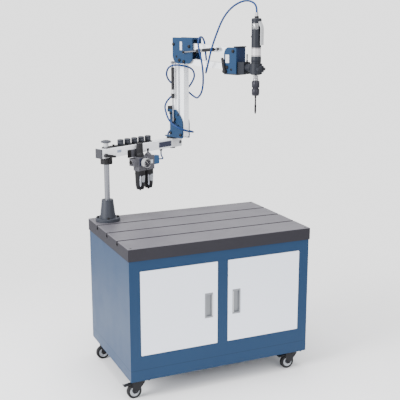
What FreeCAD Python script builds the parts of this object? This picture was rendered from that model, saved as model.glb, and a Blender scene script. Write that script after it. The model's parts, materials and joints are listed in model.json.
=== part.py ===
import FreeCAD, Part
import math
import os
import Sketcher
from FreeCAD import Placement, Rotation, Vector

# Arm tapping machine on a T-slot table cart.
# Frame: millimetres, +X to the right of the doors, +Y to the back, +Z up, origin on the floor
# below the middle of the table.

SIZES = {
    # Cart and table
    "table_length": 1000.0,
    "table_width": 660.0,
    "table_height": 783.0,
    "table_thickness": 62.0,
    "table_chamfer": 2.0,
    "slot_pitch": 165.0,
    "slot_neck": 14.0,
    "slot_neck_depth": 13.0,
    "slot_head_width": 24.0,
    "slot_head_height": 11.0,
    "casting_rib": 14.0,
    "casting_pocket_depth": 24.0,
    "deck_hole_inset": 20.0,
    "cabinet_inset": 4.0,
    "cabinet_bottom": 100.0,
    "plinth_height": 58.0,
    "plinth_flange": 112.0,
    "sheet": 3.0,
    "door_width": 411.0,
    "door_above_plinth": 74.0,
    "door_middle_gap": 58.0,
    "door_drop": 56.0,
    "door_thickness": 18.0,
    "door_clearance": 2.0,
    "door_pin_radius": 3.0,
    "door_pin_inset": 9.0,
    "door_pin_length": 6.0,
    "frame_return": 22.0,
    "pull_width": 44.0,
    "pull_height": 128.0,
    "pull_from_edge": 26.0,
    "pull_above_middle": 8.0,
    "pull_depth": 12.0,
    "pull_rim": 5.0,
    "pull_proud": 1.5,
    "casting_border": 24.0,
    "deck_screw_length": 30.0,
    "door_corner_round": 3.0,
    "door_pin_behind": 5.0,
    "pull_corner_round": 4.0,
    "pull_wall": 2.0,
    # Casters
    "caster_inset_x": 60.0,
    "caster_front_inset": 38.0,
    "caster_back_inset": 94.0,
    "caster_plate_x": 92.0,
    "caster_plate_y": 62.0,
    "caster_plate_thickness": 4.0,
    "caster_trail": 33.0,
    "wheel_radius": 37.5,
    "wheel_width": 22.0,
    "wheel_tyre": 9.0,
    "wheel_hub_boss": 9.0,
    "fork_thickness": 3.0,
    "fork_gap": 1.6,
    "fork_head_radius": 23.0,
    "fork_head_height": 9.0,
    "caster_stem_radius": 7.0,
    "axle_radius": 4.0,
    "axle_head_radius": 6.5,
    "pedal_length": 46.0,
    "pedal_width": 24.0,
    "pedal_thickness": 5.0,
    "axle_head": 2.5,
    "fork_back": 46.0,
    "fork_boss": 10.0,
    "fork_front": 20.0,
    "fork_round": 9.0,
    "fork_web": 3.0,
    "pedal_hub_radius": 3.5,
    "pedal_pin_radius": 2.0,
    "pedal_pivot_back": 38.0,
    "pedal_pivot_below": 7.5,
    "pedal_slope": 6.0,
    "plate_bolt_head": 4.0,
    "plate_bolt_inset": 8.0,
    "plate_bolt_radius": 6.0,
    "stem_end": 3.0,
    "stem_nut_radius": 11.0,
    "tyre_round": 3.0,
    "wheel_rim": 5.0,
    "wheel_web": 6.0,
    # Column
    "column_inset_x": 85.0,
    "column_inset_y": 83.0,
    "column_radius": 14.5,
    "column_flange_radius": 66.0,
    "column_flange_thickness": 18.0,
    "column_cone_low_radius": 42.0,
    "column_cone_top_radius": 31.0,
    "column_cone_height": 98.0,
    "flange_bolt_circle": 54.0,
    "flange_screw_angle": -14.0,
    "collar_radius": 32.0,
    "collar_height": 31.0,
    "collar_slit": 3.0,
    "beam_bottom_above_table": 344.0,
    "screw_radius": 4.0,
    "screw_head_radius": 6.5,
    "screw_head_height": 8.0,
    "collar_screw_seat": 8.0,
    "collar_washer": 3.0,
    "collar_washer_radius": 24.0,
    "column_plug": 30.0,
    "column_wall": 4.0,
    "flange_edge": 2.0,
    "screw_socket_depth": 4.0,
    "screw_socket_radius": 3.5,
    # Beam
    "beam_side": 50.0,
    "beam_wall": 4.0,
    "beam_angle": 23.3,
    "beam_left": 47.0,
    "beam_end_beyond": 52.0,
    "beam_socket_before": 28.0,
    "swivel_reach": 498.0,
    "end_cap_thickness": 6.0,
    "knob_flange_radius": 22.0,
    "knob_flange_height": 6.0,
    "knob_neck_radius": 13.0,
    "knob_neck_height": 24.0,
    "knob_disc_radius": 28.0,
    "knob_disc_height": 12.0,
    "rail_left": 27.0,
    "rail_right": 324.0,
    "rail_width": 36.0,
    "rail_thickness": 6.0,
    "adapter_first": 102.0,
    "adapter_pitch": 50.5,
    "adapter_radius": 16.5,
    "adapter_height": 29.0,
    "adapter_bore": 6.0,
    "lever_radius": 6.5,
    "lever_length": 66.0,
    "lever_hub_radius": 11.0,
    "lever_hub_depth": 14.0,
    "adapter_edge": 2.0,
    "adapter_groove": 2.5,
    "beam_corner_round": 3.0,
    "beam_lever_drop": 8.0,
    "bearing_wall": 4.5,
    "cap_tongue": 12.0,
    "end_button_depth": 4.0,
    "end_button_radius": 9.0,
    "end_button_beyond": 39.0,
    "gland_height": 10.0,
    "gland_length": 8.0,
    "gland_radius": 8.0,
    "hose_exit_beyond": 32.0,
    "knob_stud_length": 20.0,
    "knob_stud_radius": 6.0,
    "lever_hub_dome": 4.0,
    "lever_reach": -30.0,
    "lever_rise": -12.0,
    "lever_stud_gap": 6.0,
    "lever_stud_radius": 6.0,
    "lever_tip_round": 2.0,
    "peg_height": 8.0,
    "rail_chamfer": 1.0,
    "rail_corner_round": 4.0,
    "socket_round": 6.0,
    # Air unit
    "air_unit_left": 190.0,
    "air_unit_pitch": 62.0,
    "air_unit_setback": 55.0,
    "air_unit_depth": 46.0,
    "air_body_bottom": 255.0,
    "air_body_height": 72.0,
    "bowl_radius": 28.0,
    "bowl_length": 104.0,
    "bowl_tip_radius": 20.0,
    "regulator_low_radius": 22.0,
    "regulator_top_radius": 18.0,
    "regulator_knob_height": 73.0,
    "drip_stem_radius": 5.0,
    "drip_knob_radius": 6.5,
    "drip_knob_height": 12.0,
    "lubricator_dome_radius": 17.0,
    "lubricator_dome_height": 18.0,
    "gauge_radius": 25.0,
    "gauge_depth": 26.0,
    "gauge_stem": 14.0,
    "outlet_block_width": 44.0,
    "inlet_block_width": 30.0,
    "port_radius": 11.0,
    "air_pipe_radius": 4.0,
    "air_link_depth": 30.0,
    "air_unit_gap": 4.0,
    "air_unit_round": 5.0,
    "bowl_drain_length": 8.0,
    "bowl_drain_radius": 5.0,
    "bowl_groove": 2.0,
    "bowl_ring": 14.0,
    "bowl_taper": 3.0,
    "bracket_bolt_rise": 12.0,
    "bracket_bolt_x": 140.0,
    "bracket_height": 43.0,
    "bracket_left": 128.0,
    "bracket_width": 94.0,
    "bracket_plate": 4.0,
    "drip_stem_height": 12.0,
    "gauge_lip": 2.0,
    "gauge_rise": 47.0,
    "gauge_stem_radius": 6.0,
    "inlet_block_depth": 40.0,
    "inlet_block_height": 42.0,
    "knob_dome": 3.0,
    "knob_flute": 5.0,
    "knob_lift": 1.0,
    "outlet_block_depth": 26.0,
    "outlet_block_height": 48.0,
    "outlet_rise": 21.0,
    "pipe_end_x": 396.0,
    "pipe_end_y": -10.0,
    "pipe_sag": 8.0,
    "pipe_step": 45.0,
    "port_length": 8.0,
    "regulator_stud_height": 40.0,
    "regulator_stud_radius": 6.0,
    # Arm
    "arm_angle": -71.1,
    "turntable_radius": 34.0,
    "turntable_height": 10.0,
    "base_half_width": 28.0,
    "plate": 6.0,
    "bar_depth": 32.0,
    "bar_width": 36.0,
    "bar_wall": 3.0,
    "pin_radius": 5.0,
    "pin_head_radius": 8.5,
    "pin_head_height": 5.0,
    "running_clearance": 0.05,
    "front_pivot_s": 105.0,
    "front_pivot_rise": 29.0,
    "rung_s": 49.0,
    "rung_rise": 85.0,
    "lower_arm_length": 415.0,
    "bracket_half_width": 34.0,
    "elbow_left": 46.0,
    "elbow_right": 207.0,
    "elbow_below_pivot": 18.0,
    "elbow_above_pivot": 122.0,
    "elbow_round": 42.0,
    "upper_pivot_s": 36.0,
    "upper_pivot_drop": 6.0,
    "upper_rung_s": 43.0,
    "upper_rung_rise": 82.0,
    "upper_arm_length": 335.0,
    "upper_arm_angle": 2.5,
    "head_before_pivot": 24.0,
    "head_length": 88.0,
    "head_below_pivot": 32.0,
    "head_height": 133.0,
    "head_round": 34.0,
    "head_front_round": 6.0,
    "bar_sleeve_wall": 4.0,
    "base_height": 158.0,
    "base_hole_radius": 5.0,
    "base_hole_rise": 69.0,
    "base_hole_s": 83.0,
    "base_left": 12.0,
    "base_neck_right": 62.0,
    "base_right": 118.0,
    "base_round": 5.0,
    "base_shoulder": 79.0,
    "base_floor_reach": 86.0,
    "buffer_gap": 2.0,
    "buffer_half_width": 26.0,
    "buffer_height": 16.0,
    "buffer_right": 39.7,
    "collar_step": 3.0,
    "elbow_roof": 10.0,
    "elbow_roof_start": 9.0,
    "elbow_stop_rise": 35.0,
    "elbow_stop_size": 30.0,
    "elbow_top_round": 6.0,
    "head_floor_nose": 5.0,
    "head_end_plate": 4.0,
    "head_lever_back": 11.0,
    "head_lever_drop": 21.0,
    "head_lever_lean": 15.0,
    "head_lever_length": 69.0,
    "head_roof_back": 18.0,
    "head_roof_length": 24.0,
    "spacer_high": 136.0,
    "spacer_low": 24.0,
    "spacer_s": 20.0,
    "swivel_nut_height": 8.0,
    "swivel_nut_radius": 17.0,
    "swivel_pin_radius": 12.0,
    "tab_bridge": 10.0,
    "tab_height": 17.0,
    "tab_left": -9.0,
    # Gas springs
    "spring_radius": 10.0,
    "spring_bore": 6.6,
    "spring_rod_radius": 4.0,
    "spring_eye_radius": 8.0,
    "spring_eye_width": 9.0,
    "spring_stud_radius": 4.0,
    "lower_spring_out": 38.0,
    "upper_spring_out": 44.0,
    "lower_anchor_back": 3.0,
    "lower_anchor_drop": 18.0,
    "lower_cylinder_length": 171.0,
    "lower_stud_back": 6.0,
    "lower_stud_up": 315.0,
    "spring_collar": 27.0,
    "spring_end_wall": 4.0,
    "spring_neck": 18.0,
    "spring_play": 2.4,
    "spring_rod_share": 0.8,
    "spring_seal": 6.0,
    "spring_step": 1.0,
    "stud_cap": 3.0,
    "stud_cap_radius": 6.5,
    "upper_anchor_back": 32.0,
    "upper_anchor_drop": 31.0,
    "upper_cylinder_length": 130.0,
    "upper_stud_across": 3.95,
    "upper_stud_along": 228.05,
    # Tool
    "tool_reach": 647.0,
    "tilt_rise": 424.0,
    "tilt_block_half": 24.0,
    "tilt_block_length": 46.0,
    "tilt_shaft_radius": 12.0,
    "clamp_ring_radius": 32.0,
    "clamp_ring_low": 396.0,
    "clamp_ring_height": 52.0,
    "motor_radius": 25.0,
    "motor_sleeve_radius": 24.0,
    "gearbox_top": 484.0,
    "sleeve_top": 526.0,
    "motor_top": 671.0,
    "chuck_bottom": 287.0,
    "chuck_top": 362.0,
    "chuck_radius": 18.0,
    "coupling_radius": 12.5,
    "tap_tip": 195.0,
    "tap_radius": 5.0,
    "throttle_pivot_rise": 652.0,
    "throttle_bottom": 540.0,
    "throttle_stand": 36.0,
    "hose_nut_height": 10.0,
    "hose_radius": 4.5,
    "chuck_groove": 2.0,
    "clamp_collar_radius": 20.0,
    "clamp_knob_length": 22.0,
    "clamp_knob_radius": 9.0,
    "clamp_shaft_short": 2.0,
    "coupling_travel": 4.0,
    "ear_half_width": 10.0,
    "ear_inset": 10.0,
    "ear_length": 20.0,
    "gearbox_below": 4.0,
    "hose_nut_radius": 11.0,
    "hose_stub_height": 17.0,
    "hose_stub_radius": 8.0,
    "knurl_depth": 1.5,
    "motor_core_radius": 20.0,
    "motor_edge": 1.5,
    "motor_shoulder": 4.0,
    "reverse_button_depth": 8.0,
    "reverse_button_proud": 8.0,
    "reverse_button_radius": 6.0,
    "reverse_button_rise": 580.0,
    "reverse_button_travel": 3.0,
    "spindle_depth": 40.0,
    "spindle_end": 3.0,
    "spindle_radius": 6.0,
    "tap_socket": 12.0,
    "throttle_bend": 18.0,
    "throttle_pin_radius": 2.5,
    "throttle_pivot_inset": 5.0,
    "throttle_recess_above": 8.0,
    "throttle_recess_below": 26.0,
    "throttle_recess_depth": 6.0,
    "throttle_recess_half": 10.5,
    "throttle_thickness": 5.0,
    "throttle_width": 20.0,
    "tilt_block_height": 61.0,
    "tilt_lever_height": 33.0,
    "tilt_lever_radius": 5.0,
}

OVERRUN = 2.0
NEAR = 0.01
ARC_SHARE = 0.45

doc = FreeCAD.newDocument("ArmTappingMachine")
sheet = doc.addObject("Spreadsheet::Sheet", "Sizes")
for row, (alias, value) in enumerate(SIZES.items(), start=1):
    sheet.set(f"A{row}", alias)
    sheet.set(f"B{row}", str(value))
    sheet.setAlias(f"B{row}", alias)
doc.recompute()


class Size:
    """A length, share or angle, with the sheet expression that gives it."""

    def __init__(self, value, text):
        self.value = value
        self.text = text

    def __add__(self, other):
        other = as_size(other)
        return Size(self.value + other.value, f"({self.text} + {other.text})")

    def __radd__(self, other):
        return as_size(other) + self

    def __sub__(self, other):
        other = as_size(other)
        return Size(self.value - other.value, f"({self.text} - {other.text})")

    def __rsub__(self, other):
        return as_size(other) - self

    def __mul__(self, other):
        other = as_size(other)
        return Size(self.value * other.value, f"({self.text} * {other.text})")

    def __rmul__(self, other):
        return as_size(other) * self

    def __truediv__(self, other):
        other = as_size(other)
        return Size(self.value / other.value, f"({self.text} / {other.text})")

    def __neg__(self):
        return Size(-self.value, f"(0 - {self.text})")


def as_size(number):
    """A plain number as a Size; a Size stays as it is."""
    if isinstance(number, Size):
        return number
    return Size(float(number), f"({number:.9g})" if number < 0 else f"{number:.9g}")


class Sheet:
    """Reads the driving dimensions by name."""

    def __getattr__(self, name):
        return Size(SIZES[name], f"Sizes.{name}")


def cosine(angle):
    return Size(math.cos(math.radians(angle.value)), f"cos({angle.text} * 1 deg)")


def sine(angle):
    return Size(math.sin(math.radians(angle.value)), f"sin({angle.text} * 1 deg)")


class Ring:
    """A circle in a sketch: centre and radius."""

    def __init__(self, u, v, radius):
        self.u = as_size(u)
        self.v = as_size(v)
        self.radius = radius


S = Sheet()
IN_PLANE = {"XY_Plane": "xy", "XZ_Plane": "xz", "YZ_Plane": "yz"}
nodes = {}


def facing(role):
    """Side of the model's axis that a sketch plane faces: +1, or -1 for the front plane."""
    return -1 if role == "XZ_Plane" else 1


def bind(item, path, size):
    item.setExpression(path, as_size(size).text)


def rectangle(u, v, width, height):
    """Corners of a rectangle from its lower left corner."""
    return [(u, v), (u + width, v), (u + width, v + height), (u, v + height)]


def centred(u, v, width, height):
    """Corners of a rectangle about its centre."""
    return rectangle(u - width / 2, v - height / 2, width, height)


class Piece:
    """One PartDesign body and the features that shape it."""

    def __init__(self, name):
        self.name = name
        self.body = doc.addObject("PartDesign::Body", name)
        self.count = 0
        self.last = None

    def sketch(self, role, loops, shift=0):
        """Closed outlines on one of the body's origin planes, moved along its axis."""
        self.count += 1
        sketch = self.body.newObject("Sketcher::SketchObject", f"{self.name}_sketch_{self.count}")
        plane = [item for item in self.body.Origin.OriginFeatures if item.Role == role][0]
        sketch.AttachmentSupport = [(plane, "")]
        sketch.MapMode = "FlatFace"
        shift = as_size(shift) * facing(role)
        sketch.AttachmentOffset = Placement(Vector(0, 0, shift.value), Rotation())
        bind(sketch, "AttachmentOffset.Base.z", shift)
        for loop in loops:
            if isinstance(loop, Ring):
                self.draw_ring(sketch, loop)
            else:
                self.draw_polygon(sketch, loop)
        sketch.Visibility = False
        return sketch, role

    def hold(self, sketch, kind, geometry, corner, size):
        """One dimension from the sketch's origin, driven by the sheet."""
        if size.value == 0:
            axis = -2 if kind == "DistanceX" else -1
            sketch.addConstraint(Sketcher.Constraint("PointOnObject", geometry, corner, axis))
            return
        index = sketch.addConstraint(Sketcher.Constraint(kind, -1, 1, geometry, corner, size.value))
        sketch.setExpression(f"Constraints[{index}]", size.text)

    def draw_polygon(self, sketch, corners):
        corners = [(as_size(u), as_size(v)) for u, v in corners]
        first = sketch.GeometryCount
        count = len(corners)
        for index in range(count):
            start = Vector(corners[index][0].value, corners[index][1].value, 0)
            after = corners[(index + 1) % count]
            end = Vector(after[0].value, after[1].value, 0)
            sketch.addGeometry(Part.LineSegment(start, end), False)
        for index in range(count):
            after = first + (index + 1) % count
            sketch.addConstraint(Sketcher.Constraint("Coincident", first + index, 2, after, 1))
        for index, (u, v) in enumerate(corners):
            self.hold(sketch, "DistanceX", first + index, 1, u)
            self.hold(sketch, "DistanceY", first + index, 1, v)

    def draw_ring(self, sketch, ring):
        centre = Vector(ring.u.value, ring.v.value, 0)
        circle = Part.Circle(centre, Vector(0, 0, 1), ring.radius.value)
        index = sketch.addGeometry(circle, False)
        radius = sketch.addConstraint(Sketcher.Constraint("Radius", index, ring.radius.value))
        sketch.setExpression(f"Constraints[{radius}]", ring.radius.text)
        self.hold(sketch, "DistanceX", index, 3, ring.u)
        self.hold(sketch, "DistanceY", index, 3, ring.v)

    def feature(self, kind, profile):
        self.count += 1
        item = self.body.newObject(f"PartDesign::{kind}", f"{self.name}_{kind}_{self.count}")
        item.Profile = profile[0]
        self.last = item
        return item

    def pad(self, profile, length, toward=1, both=False):
        """Adds a straight run of the outline, towards +1 or -1 on its axis, or both ways."""
        item = self.feature("Pad", profile)
        bind(item, "Length", length)
        item.Midplane = both
        item.Reversed = toward != facing(profile[1])
        return item

    def pocket(self, profile, length=None, toward=1):
        """Cuts a straight run of the outline, or right through both ways without a length."""
        item = self.feature("Pocket", profile)
        if length is None:
            item.Type = "ThroughAll"
            item.Midplane = True
        else:
            bind(item, "Length", length)
            item.Reversed = toward == facing(profile[1])
        return item

    def revolve(self, profile):
        """Turns an outline drawn beside the vertical axis."""
        item = self.feature("Revolution", profile)
        item.ReferenceAxis = (profile[0], ["V_Axis"])
        item.Angle = 360
        return item

    def edges_at(self, role, corners):
        """Names of the straight edges that stand on a plane at the given corners."""
        doc.recompute()
        first, second = IN_PLANE[role]
        names = []
        for index, edge in enumerate(self.last.Shape.Edges, start=1):
            if edge.Curve.TypeId != "Part::GeomLine":
                continue
            start = edge.Vertexes[0].Point
            end = edge.Vertexes[-1].Point
            for u, v in corners:
                near = True
                for point in (start, end):
                    near = near and abs(getattr(point, first) - as_size(u).value) < NEAR
                    near = near and abs(getattr(point, second) - as_size(v).value) < NEAR
                if near:
                    names.append(f"Edge{index}")
                    break
        return names

    def edges_in(self, test):
        """Names of the edges whose two ends and middle pass a test."""
        doc.recompute()
        names = []
        for index, edge in enumerate(self.last.Shape.Edges, start=1):
            middle = edge.valueAt((edge.FirstParameter + edge.LastParameter) / 2)
            points = [vertex.Point for vertex in edge.Vertexes] + [middle]
            if all(test(point) for point in points):
                names.append(f"Edge{index}")
        return names

    def round(self, names, radius, kind="Fillet"):
        """Fillet or chamfer of the named edges of the last feature."""
        self.count += 1
        base = self.last
        item = self.body.newObject(f"PartDesign::{kind}", f"{self.name}_{kind}_{self.count}")
        item.Base = (base, names)
        bind(item, "Radius" if kind == "Fillet" else "Size", radius)
        self.last = item
        return item

    def round_corners(self, role, corners, radius):
        return self.round(self.edges_at(role, corners), radius)

    def repeat(self, kind, feature, axis, span, count):
        """Linear or polar pattern of a feature of this body."""
        self.count += 1
        item = self.body.newObject(f"PartDesign::{kind}", f"{self.name}_{kind}_{self.count}")
        item.Originals = [feature]
        if kind == "LinearPattern":
            item.Direction = axis
            bind(item, "Length", span)
        else:
            item.Axis = axis
            item.Angle = span
        item.Occurrences = count
        self.body.Tip = item
        self.last = item
        return item


AXES = {
    "x": Rotation(Vector(0, 1, 0), 90),
    "-x": Rotation(Vector(0, 1, 0), -90),
    "y": Rotation(Vector(1, 0, 0), -90),
    "-y": Rotation(Vector(1, 0, 0), 90),
    "z": Rotation(),
    "-z": Rotation(Vector(1, 0, 0), 180),
}


def put(item, base, rotation=None):
    """Places an item at named sizes."""
    if rotation is not None:
        item.Placement = Placement(Vector(), rotation)
    for letter, size in zip("xyz", base):
        bind(item, f"Placement.Base.{letter}", size)
    return item


def rod(name, base, axis, radius, length):
    """Cylinder from a base point along an axis."""
    item = doc.addObject("Part::Cylinder", name)
    bind(item, "Radius", radius)
    bind(item, "Height", length)
    return put(item, base, AXES[axis])


def cone(name, base, axis, low, high, length):
    """Cone frustum from a base point along an axis."""
    item = doc.addObject("Part::Cone", name)
    bind(item, "Radius1", low)
    bind(item, "Radius2", high)
    bind(item, "Height", length)
    return put(item, base, AXES[axis])


def block(name, low, size):
    """Box from its lowest corner."""
    item = doc.addObject("Part::Box", name)
    for path, length in zip(("Length", "Width", "Height"), size):
        bind(item, path, length)
    return put(item, low)


def fuse(name, parts):
    item = doc.addObject("Part::MultiFuse", name)
    item.Shapes = parts
    item.Refine = True
    return item


def cut(name, base, tools):
    item = doc.addObject("Part::Cut", name)
    item.Base = base
    item.Tool = tools[0] if len(tools) == 1 else fuse(name + "_tools", tools)
    item.Refine = True
    return item


def group(name, parts):
    item = doc.addObject("Part::Compound", name)
    item.Links = parts
    return item


def turned(name, outline, base=(0, 0, 0), axis="z"):
    """Body turned about its own axis from an outline of radius and height."""
    piece = Piece(name)
    piece.revolve(piece.sketch("XZ_Plane", [outline]))
    put(piece.body, base, AXES[axis])
    return piece.body


def beam_frame():
    """On the column's axis, +X along the beam."""
    return column_x(), column_y(), S.beam_angle


def column_x():
    return S.column_inset_x - S.table_length / 2


def column_y():
    return S.table_width / 2 - S.column_inset_y


def beam_right():
    return S.swivel_reach + S.beam_end_beyond


def beam_socket_left():
    return S.swivel_reach - S.beam_socket_before


def swivel_x():
    return column_x() + S.swivel_reach * cosine(S.beam_angle)


def swivel_y():
    return column_y() + S.swivel_reach * sine(S.beam_angle)


def arm_frame():
    """On the arm's swivel axis, +X out along the arm."""
    return swivel_x(), swivel_y(), S.arm_angle


def keep(label, item, frame=None):
    """Names a finished sub-part and moves it from the beam's or the arm's frame to the model's."""
    if frame is not None:
        if any("Placement" in path for path, text in item.ExpressionEngine):
            item = group(label + "_in_place", [item])
        x, y, turn = frame()
        item.Placement = Placement(Vector(x.value, y.value, 0), Rotation(Vector(0, 0, 1), turn.value))
        bind(item, "Placement.Base.x", x)
        bind(item, "Placement.Base.y", y)
        item.setExpression("Placement.Rotation.Angle", f"{turn.text} * 1 deg")
    item.Label = label
    nodes[label] = item
    return item


def tube(name, radius, route):
    """Round hose along straight runs joined by tangent arcs; returns the shape and its radii."""
    points = [Vector(*(as_size(value).value for value in point)) for point in route]
    runs = [(points[i + 1] - points[i]).Length for i in range(len(points) - 1)]
    edges = []
    radii = []
    start = points[0]
    for index in range(1, len(points) - 1):
        before = (points[index] - points[index - 1]).normalize()
        after = (points[index + 1] - points[index]).normalize()
        half_turn = before.getAngle(after) / 2
        set_back = ARC_SHARE * min(runs[index - 1], runs[index])
        bend = set_back / math.tan(half_turn)
        radii.append(bend)
        arc_start = points[index] - before * set_back
        arc_end = points[index] + after * set_back
        inward = (after - before).normalize()
        middle = points[index] + inward * (bend / math.cos(half_turn) - bend)
        edges.append(Part.LineSegment(start, arc_start).toShape())
        edges.append(Part.Arc(arc_start, middle, arc_end).toShape())
        start = arc_end
    edges.append(Part.LineSegment(start, points[-1]).toShape())
    path = Part.Wire(edges)
    normal = (points[1] - points[0]).normalize()
    section = Part.Wire([Part.Circle(points[0], normal, radius.value).toShape()])
    shape = path.makePipeShell([section], True, False)
    print(f"{name}: length {path.Length:.1f}, least radius {min(radii):.1f}, "
          f"volume share {shape.Volume / (path.Length * math.pi * radius.value ** 2):.4f}")
    item = doc.addObject("Part::Feature", name)
    item.Shape = shape
    return item


def hexagon(name, base, axis, radius, length):
    """Hexagonal recess tool from a base point along an axis."""
    item = doc.addObject("Part::Prism", name)
    item.Polygon = 6
    bind(item, "Circumradius", radius)
    bind(item, "Height", length)
    return put(item, base, AXES[axis])


def socket_screw(name, x, y, seat, shank):
    """Upright socket screw whose head stands on a seat height."""
    head = rod(name + "_head", (x, y, seat), "z", S.screw_head_radius, S.screw_head_height)
    stem = rod(name + "_stem", (x, y, seat - shank), "z", S.screw_radius, shank + OVERRUN)
    floor = seat + S.screw_head_height - S.screw_socket_depth
    socket = hexagon(name + "_socket", (x, y, floor), "z", S.screw_socket_radius,
                     S.screw_socket_depth + OVERRUN)
    return cut(name, fuse(name + "_body", [head, stem]), [socket])


def corner_spots():
    """Positions of the table's four corner screws."""
    x = S.table_length / 2 - S.deck_hole_inset
    y = S.table_width / 2 - S.deck_hole_inset
    return [(-x, -y), (x, -y), (-x, y), (x, y)]


def flange_spots():
    """Positions of the column flange's four screws."""
    turns = [S.flange_screw_angle + 90 * quarter for quarter in range(4)]
    reach = S.flange_bolt_circle
    return [(column_x() + reach * cosine(turn), column_y() + reach * sine(turn)) for turn in turns]


def cabinet_size():
    return S.table_length - 2 * S.cabinet_inset, S.table_width - 2 * S.cabinet_inset


def cabinet_top():
    return S.table_height - S.table_thickness


def build_table():
    """Cast table: three T-slots along X, ribbed underside, counterbored corner holes."""
    table = Piece("t_slot_table")
    plan = centred(0, 0, S.table_length, S.table_width)
    table.pad(table.sketch("XY_Plane", [plan], cabinet_top()), S.table_thickness)
    top = S.table_height.value
    rim = table.edges_in(lambda point: abs(point.z - top) < NEAR)
    table.round(rim, S.table_chamfer, "Chamfer")
    slots = []
    for number in (-1, 0, 1):
        y = S.slot_pitch * number
        neck = S.table_height - S.slot_neck_depth
        floor = neck - S.slot_head_height
        slots.append([
            (y - S.slot_neck / 2, S.table_height + OVERRUN), (y - S.slot_neck / 2, neck),
            (y - S.slot_head_width / 2, neck), (y - S.slot_head_width / 2, floor),
            (y + S.slot_head_width / 2, floor), (y + S.slot_head_width / 2, neck),
            (y + S.slot_neck / 2, neck), (y + S.slot_neck / 2, S.table_height + OVERRUN),
        ])
    table.pocket(table.sketch("YZ_Plane", slots))
    columns = 5
    rows = 3
    width = (S.table_length - 2 * S.casting_border - (columns - 1) * S.casting_rib) / columns
    depth = (S.table_width - 2 * S.casting_border - (rows - 1) * S.casting_rib) / rows
    cells = []
    for column in range(columns):
        for row in range(rows):
            x = S.casting_border - S.table_length / 2 + (width + S.casting_rib) * column
            y = S.casting_border - S.table_width / 2 + (depth + S.casting_rib) * row
            cells.append(rectangle(x, y, width, depth))
    table.pocket(table.sketch("XY_Plane", cells, cabinet_top()), S.casting_pocket_depth, 1)
    seat = S.table_height - S.screw_head_height
    bores = [Ring(x, y, S.screw_head_radius) for x, y in corner_spots()]
    table.pocket(table.sketch("XY_Plane", bores, S.table_height), S.screw_head_height, -1)
    holes = [Ring(x, y, S.screw_radius) for x, y in corner_spots()]
    holes += [Ring(x, y, S.screw_radius) for x, y in flange_spots()]
    table.pocket(table.sketch("XY_Plane", holes, S.table_height), S.deck_screw_length, -1)
    keep("t_slot_table", table.body)
    screws = []
    for index, (x, y) in enumerate(corner_spots()):
        length = S.deck_screw_length - S.screw_head_height
        screws.append(socket_screw(f"deck_screw_{index}", x, y, seat, length))
    for index, (x, y) in enumerate(flange_spots()):
        length = S.deck_screw_length + S.column_flange_thickness
        top = S.table_height + S.column_flange_thickness
        screws.append(socket_screw(f"flange_screw_{index}", x, y, top, length))
    keep("socket_screws", group("screw_group", screws))


def build_cabinet():
    """Sheet cabinet open through two door frames, on a plinth that carries the casters."""
    length, width = cabinet_size()
    base = S.cabinet_bottom + S.plinth_height
    height = cabinet_top() - base
    corner = (-length / 2, -width / 2, base)
    outer = block("shell_outer", corner, (length, width, height))
    hollow = block("shell_hollow", tuple(value + S.sheet for value in corner),
                   (length - 2 * S.sheet, width - 2 * S.sheet, height - 2 * S.sheet))
    walls = cut("shell_walls", outer, [hollow])
    frames = []
    openings = []
    pins = []
    for side, sign in (("left", -1), ("right", 1)):
        inner_x = S.door_middle_gap / 2 - S.door_clearance
        wide = S.door_width + 2 * S.door_clearance
        low_x = inner_x if sign > 0 else -inner_x - wide
        low_z = door_bottom() - S.door_clearance
        tall = door_height() + 2 * S.door_clearance
        frames.append(block(f"{side}_door_frame", (low_x - S.sheet, -width / 2, low_z - S.sheet),
                            (wide + 2 * S.sheet, S.frame_return, tall + 2 * S.sheet)))
        openings.append(block(f"{side}_door_opening", (low_x, -width / 2 - OVERRUN, low_z),
                              (wide, S.frame_return + 2 * OVERRUN, tall)))
        hole_low = (door_pin_x(sign), door_pin_y(), low_z - S.sheet - OVERRUN)
        pins.append(rod(f"{side}_door_pin_holes", hole_low, "z", S.door_pin_radius + S.running_clearance,
                        tall + 2 * (S.sheet + OVERRUN)))
    keep("cabinet_shell", cut("shell", fuse("shell_with_frames", [walls] + frames), openings + pins))
    corner = (-length / 2, -width / 2, S.cabinet_bottom)
    outer = block("plinth_outer", corner, (length, width, S.plinth_height))
    hollow = block("plinth_hollow", (corner[0] + S.sheet, corner[1] + S.sheet, corner[2] + S.sheet),
                   (length - 2 * S.sheet, width - 2 * S.sheet, S.plinth_height))
    window = block("plinth_window",
                   (corner[0] + S.plinth_flange, corner[1] + S.plinth_flange, corner[2] - OVERRUN),
                   (length - 2 * S.plinth_flange, width - 2 * S.plinth_flange, S.plinth_height))
    keep("cabinet_plinth", cut("plinth", outer, [hollow, window]))


def door_top():
    return cabinet_top() - S.door_drop


def door_bottom():
    return S.cabinet_bottom + S.plinth_height + S.door_above_plinth


def door_height():
    return door_top() - door_bottom()


def door_pin_x(sign):
    return (S.door_middle_gap / 2 + S.door_width - S.door_pin_inset) * sign


def door_pin_y():
    return S.door_pin_behind - cabinet_size()[1] / 2


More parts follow.
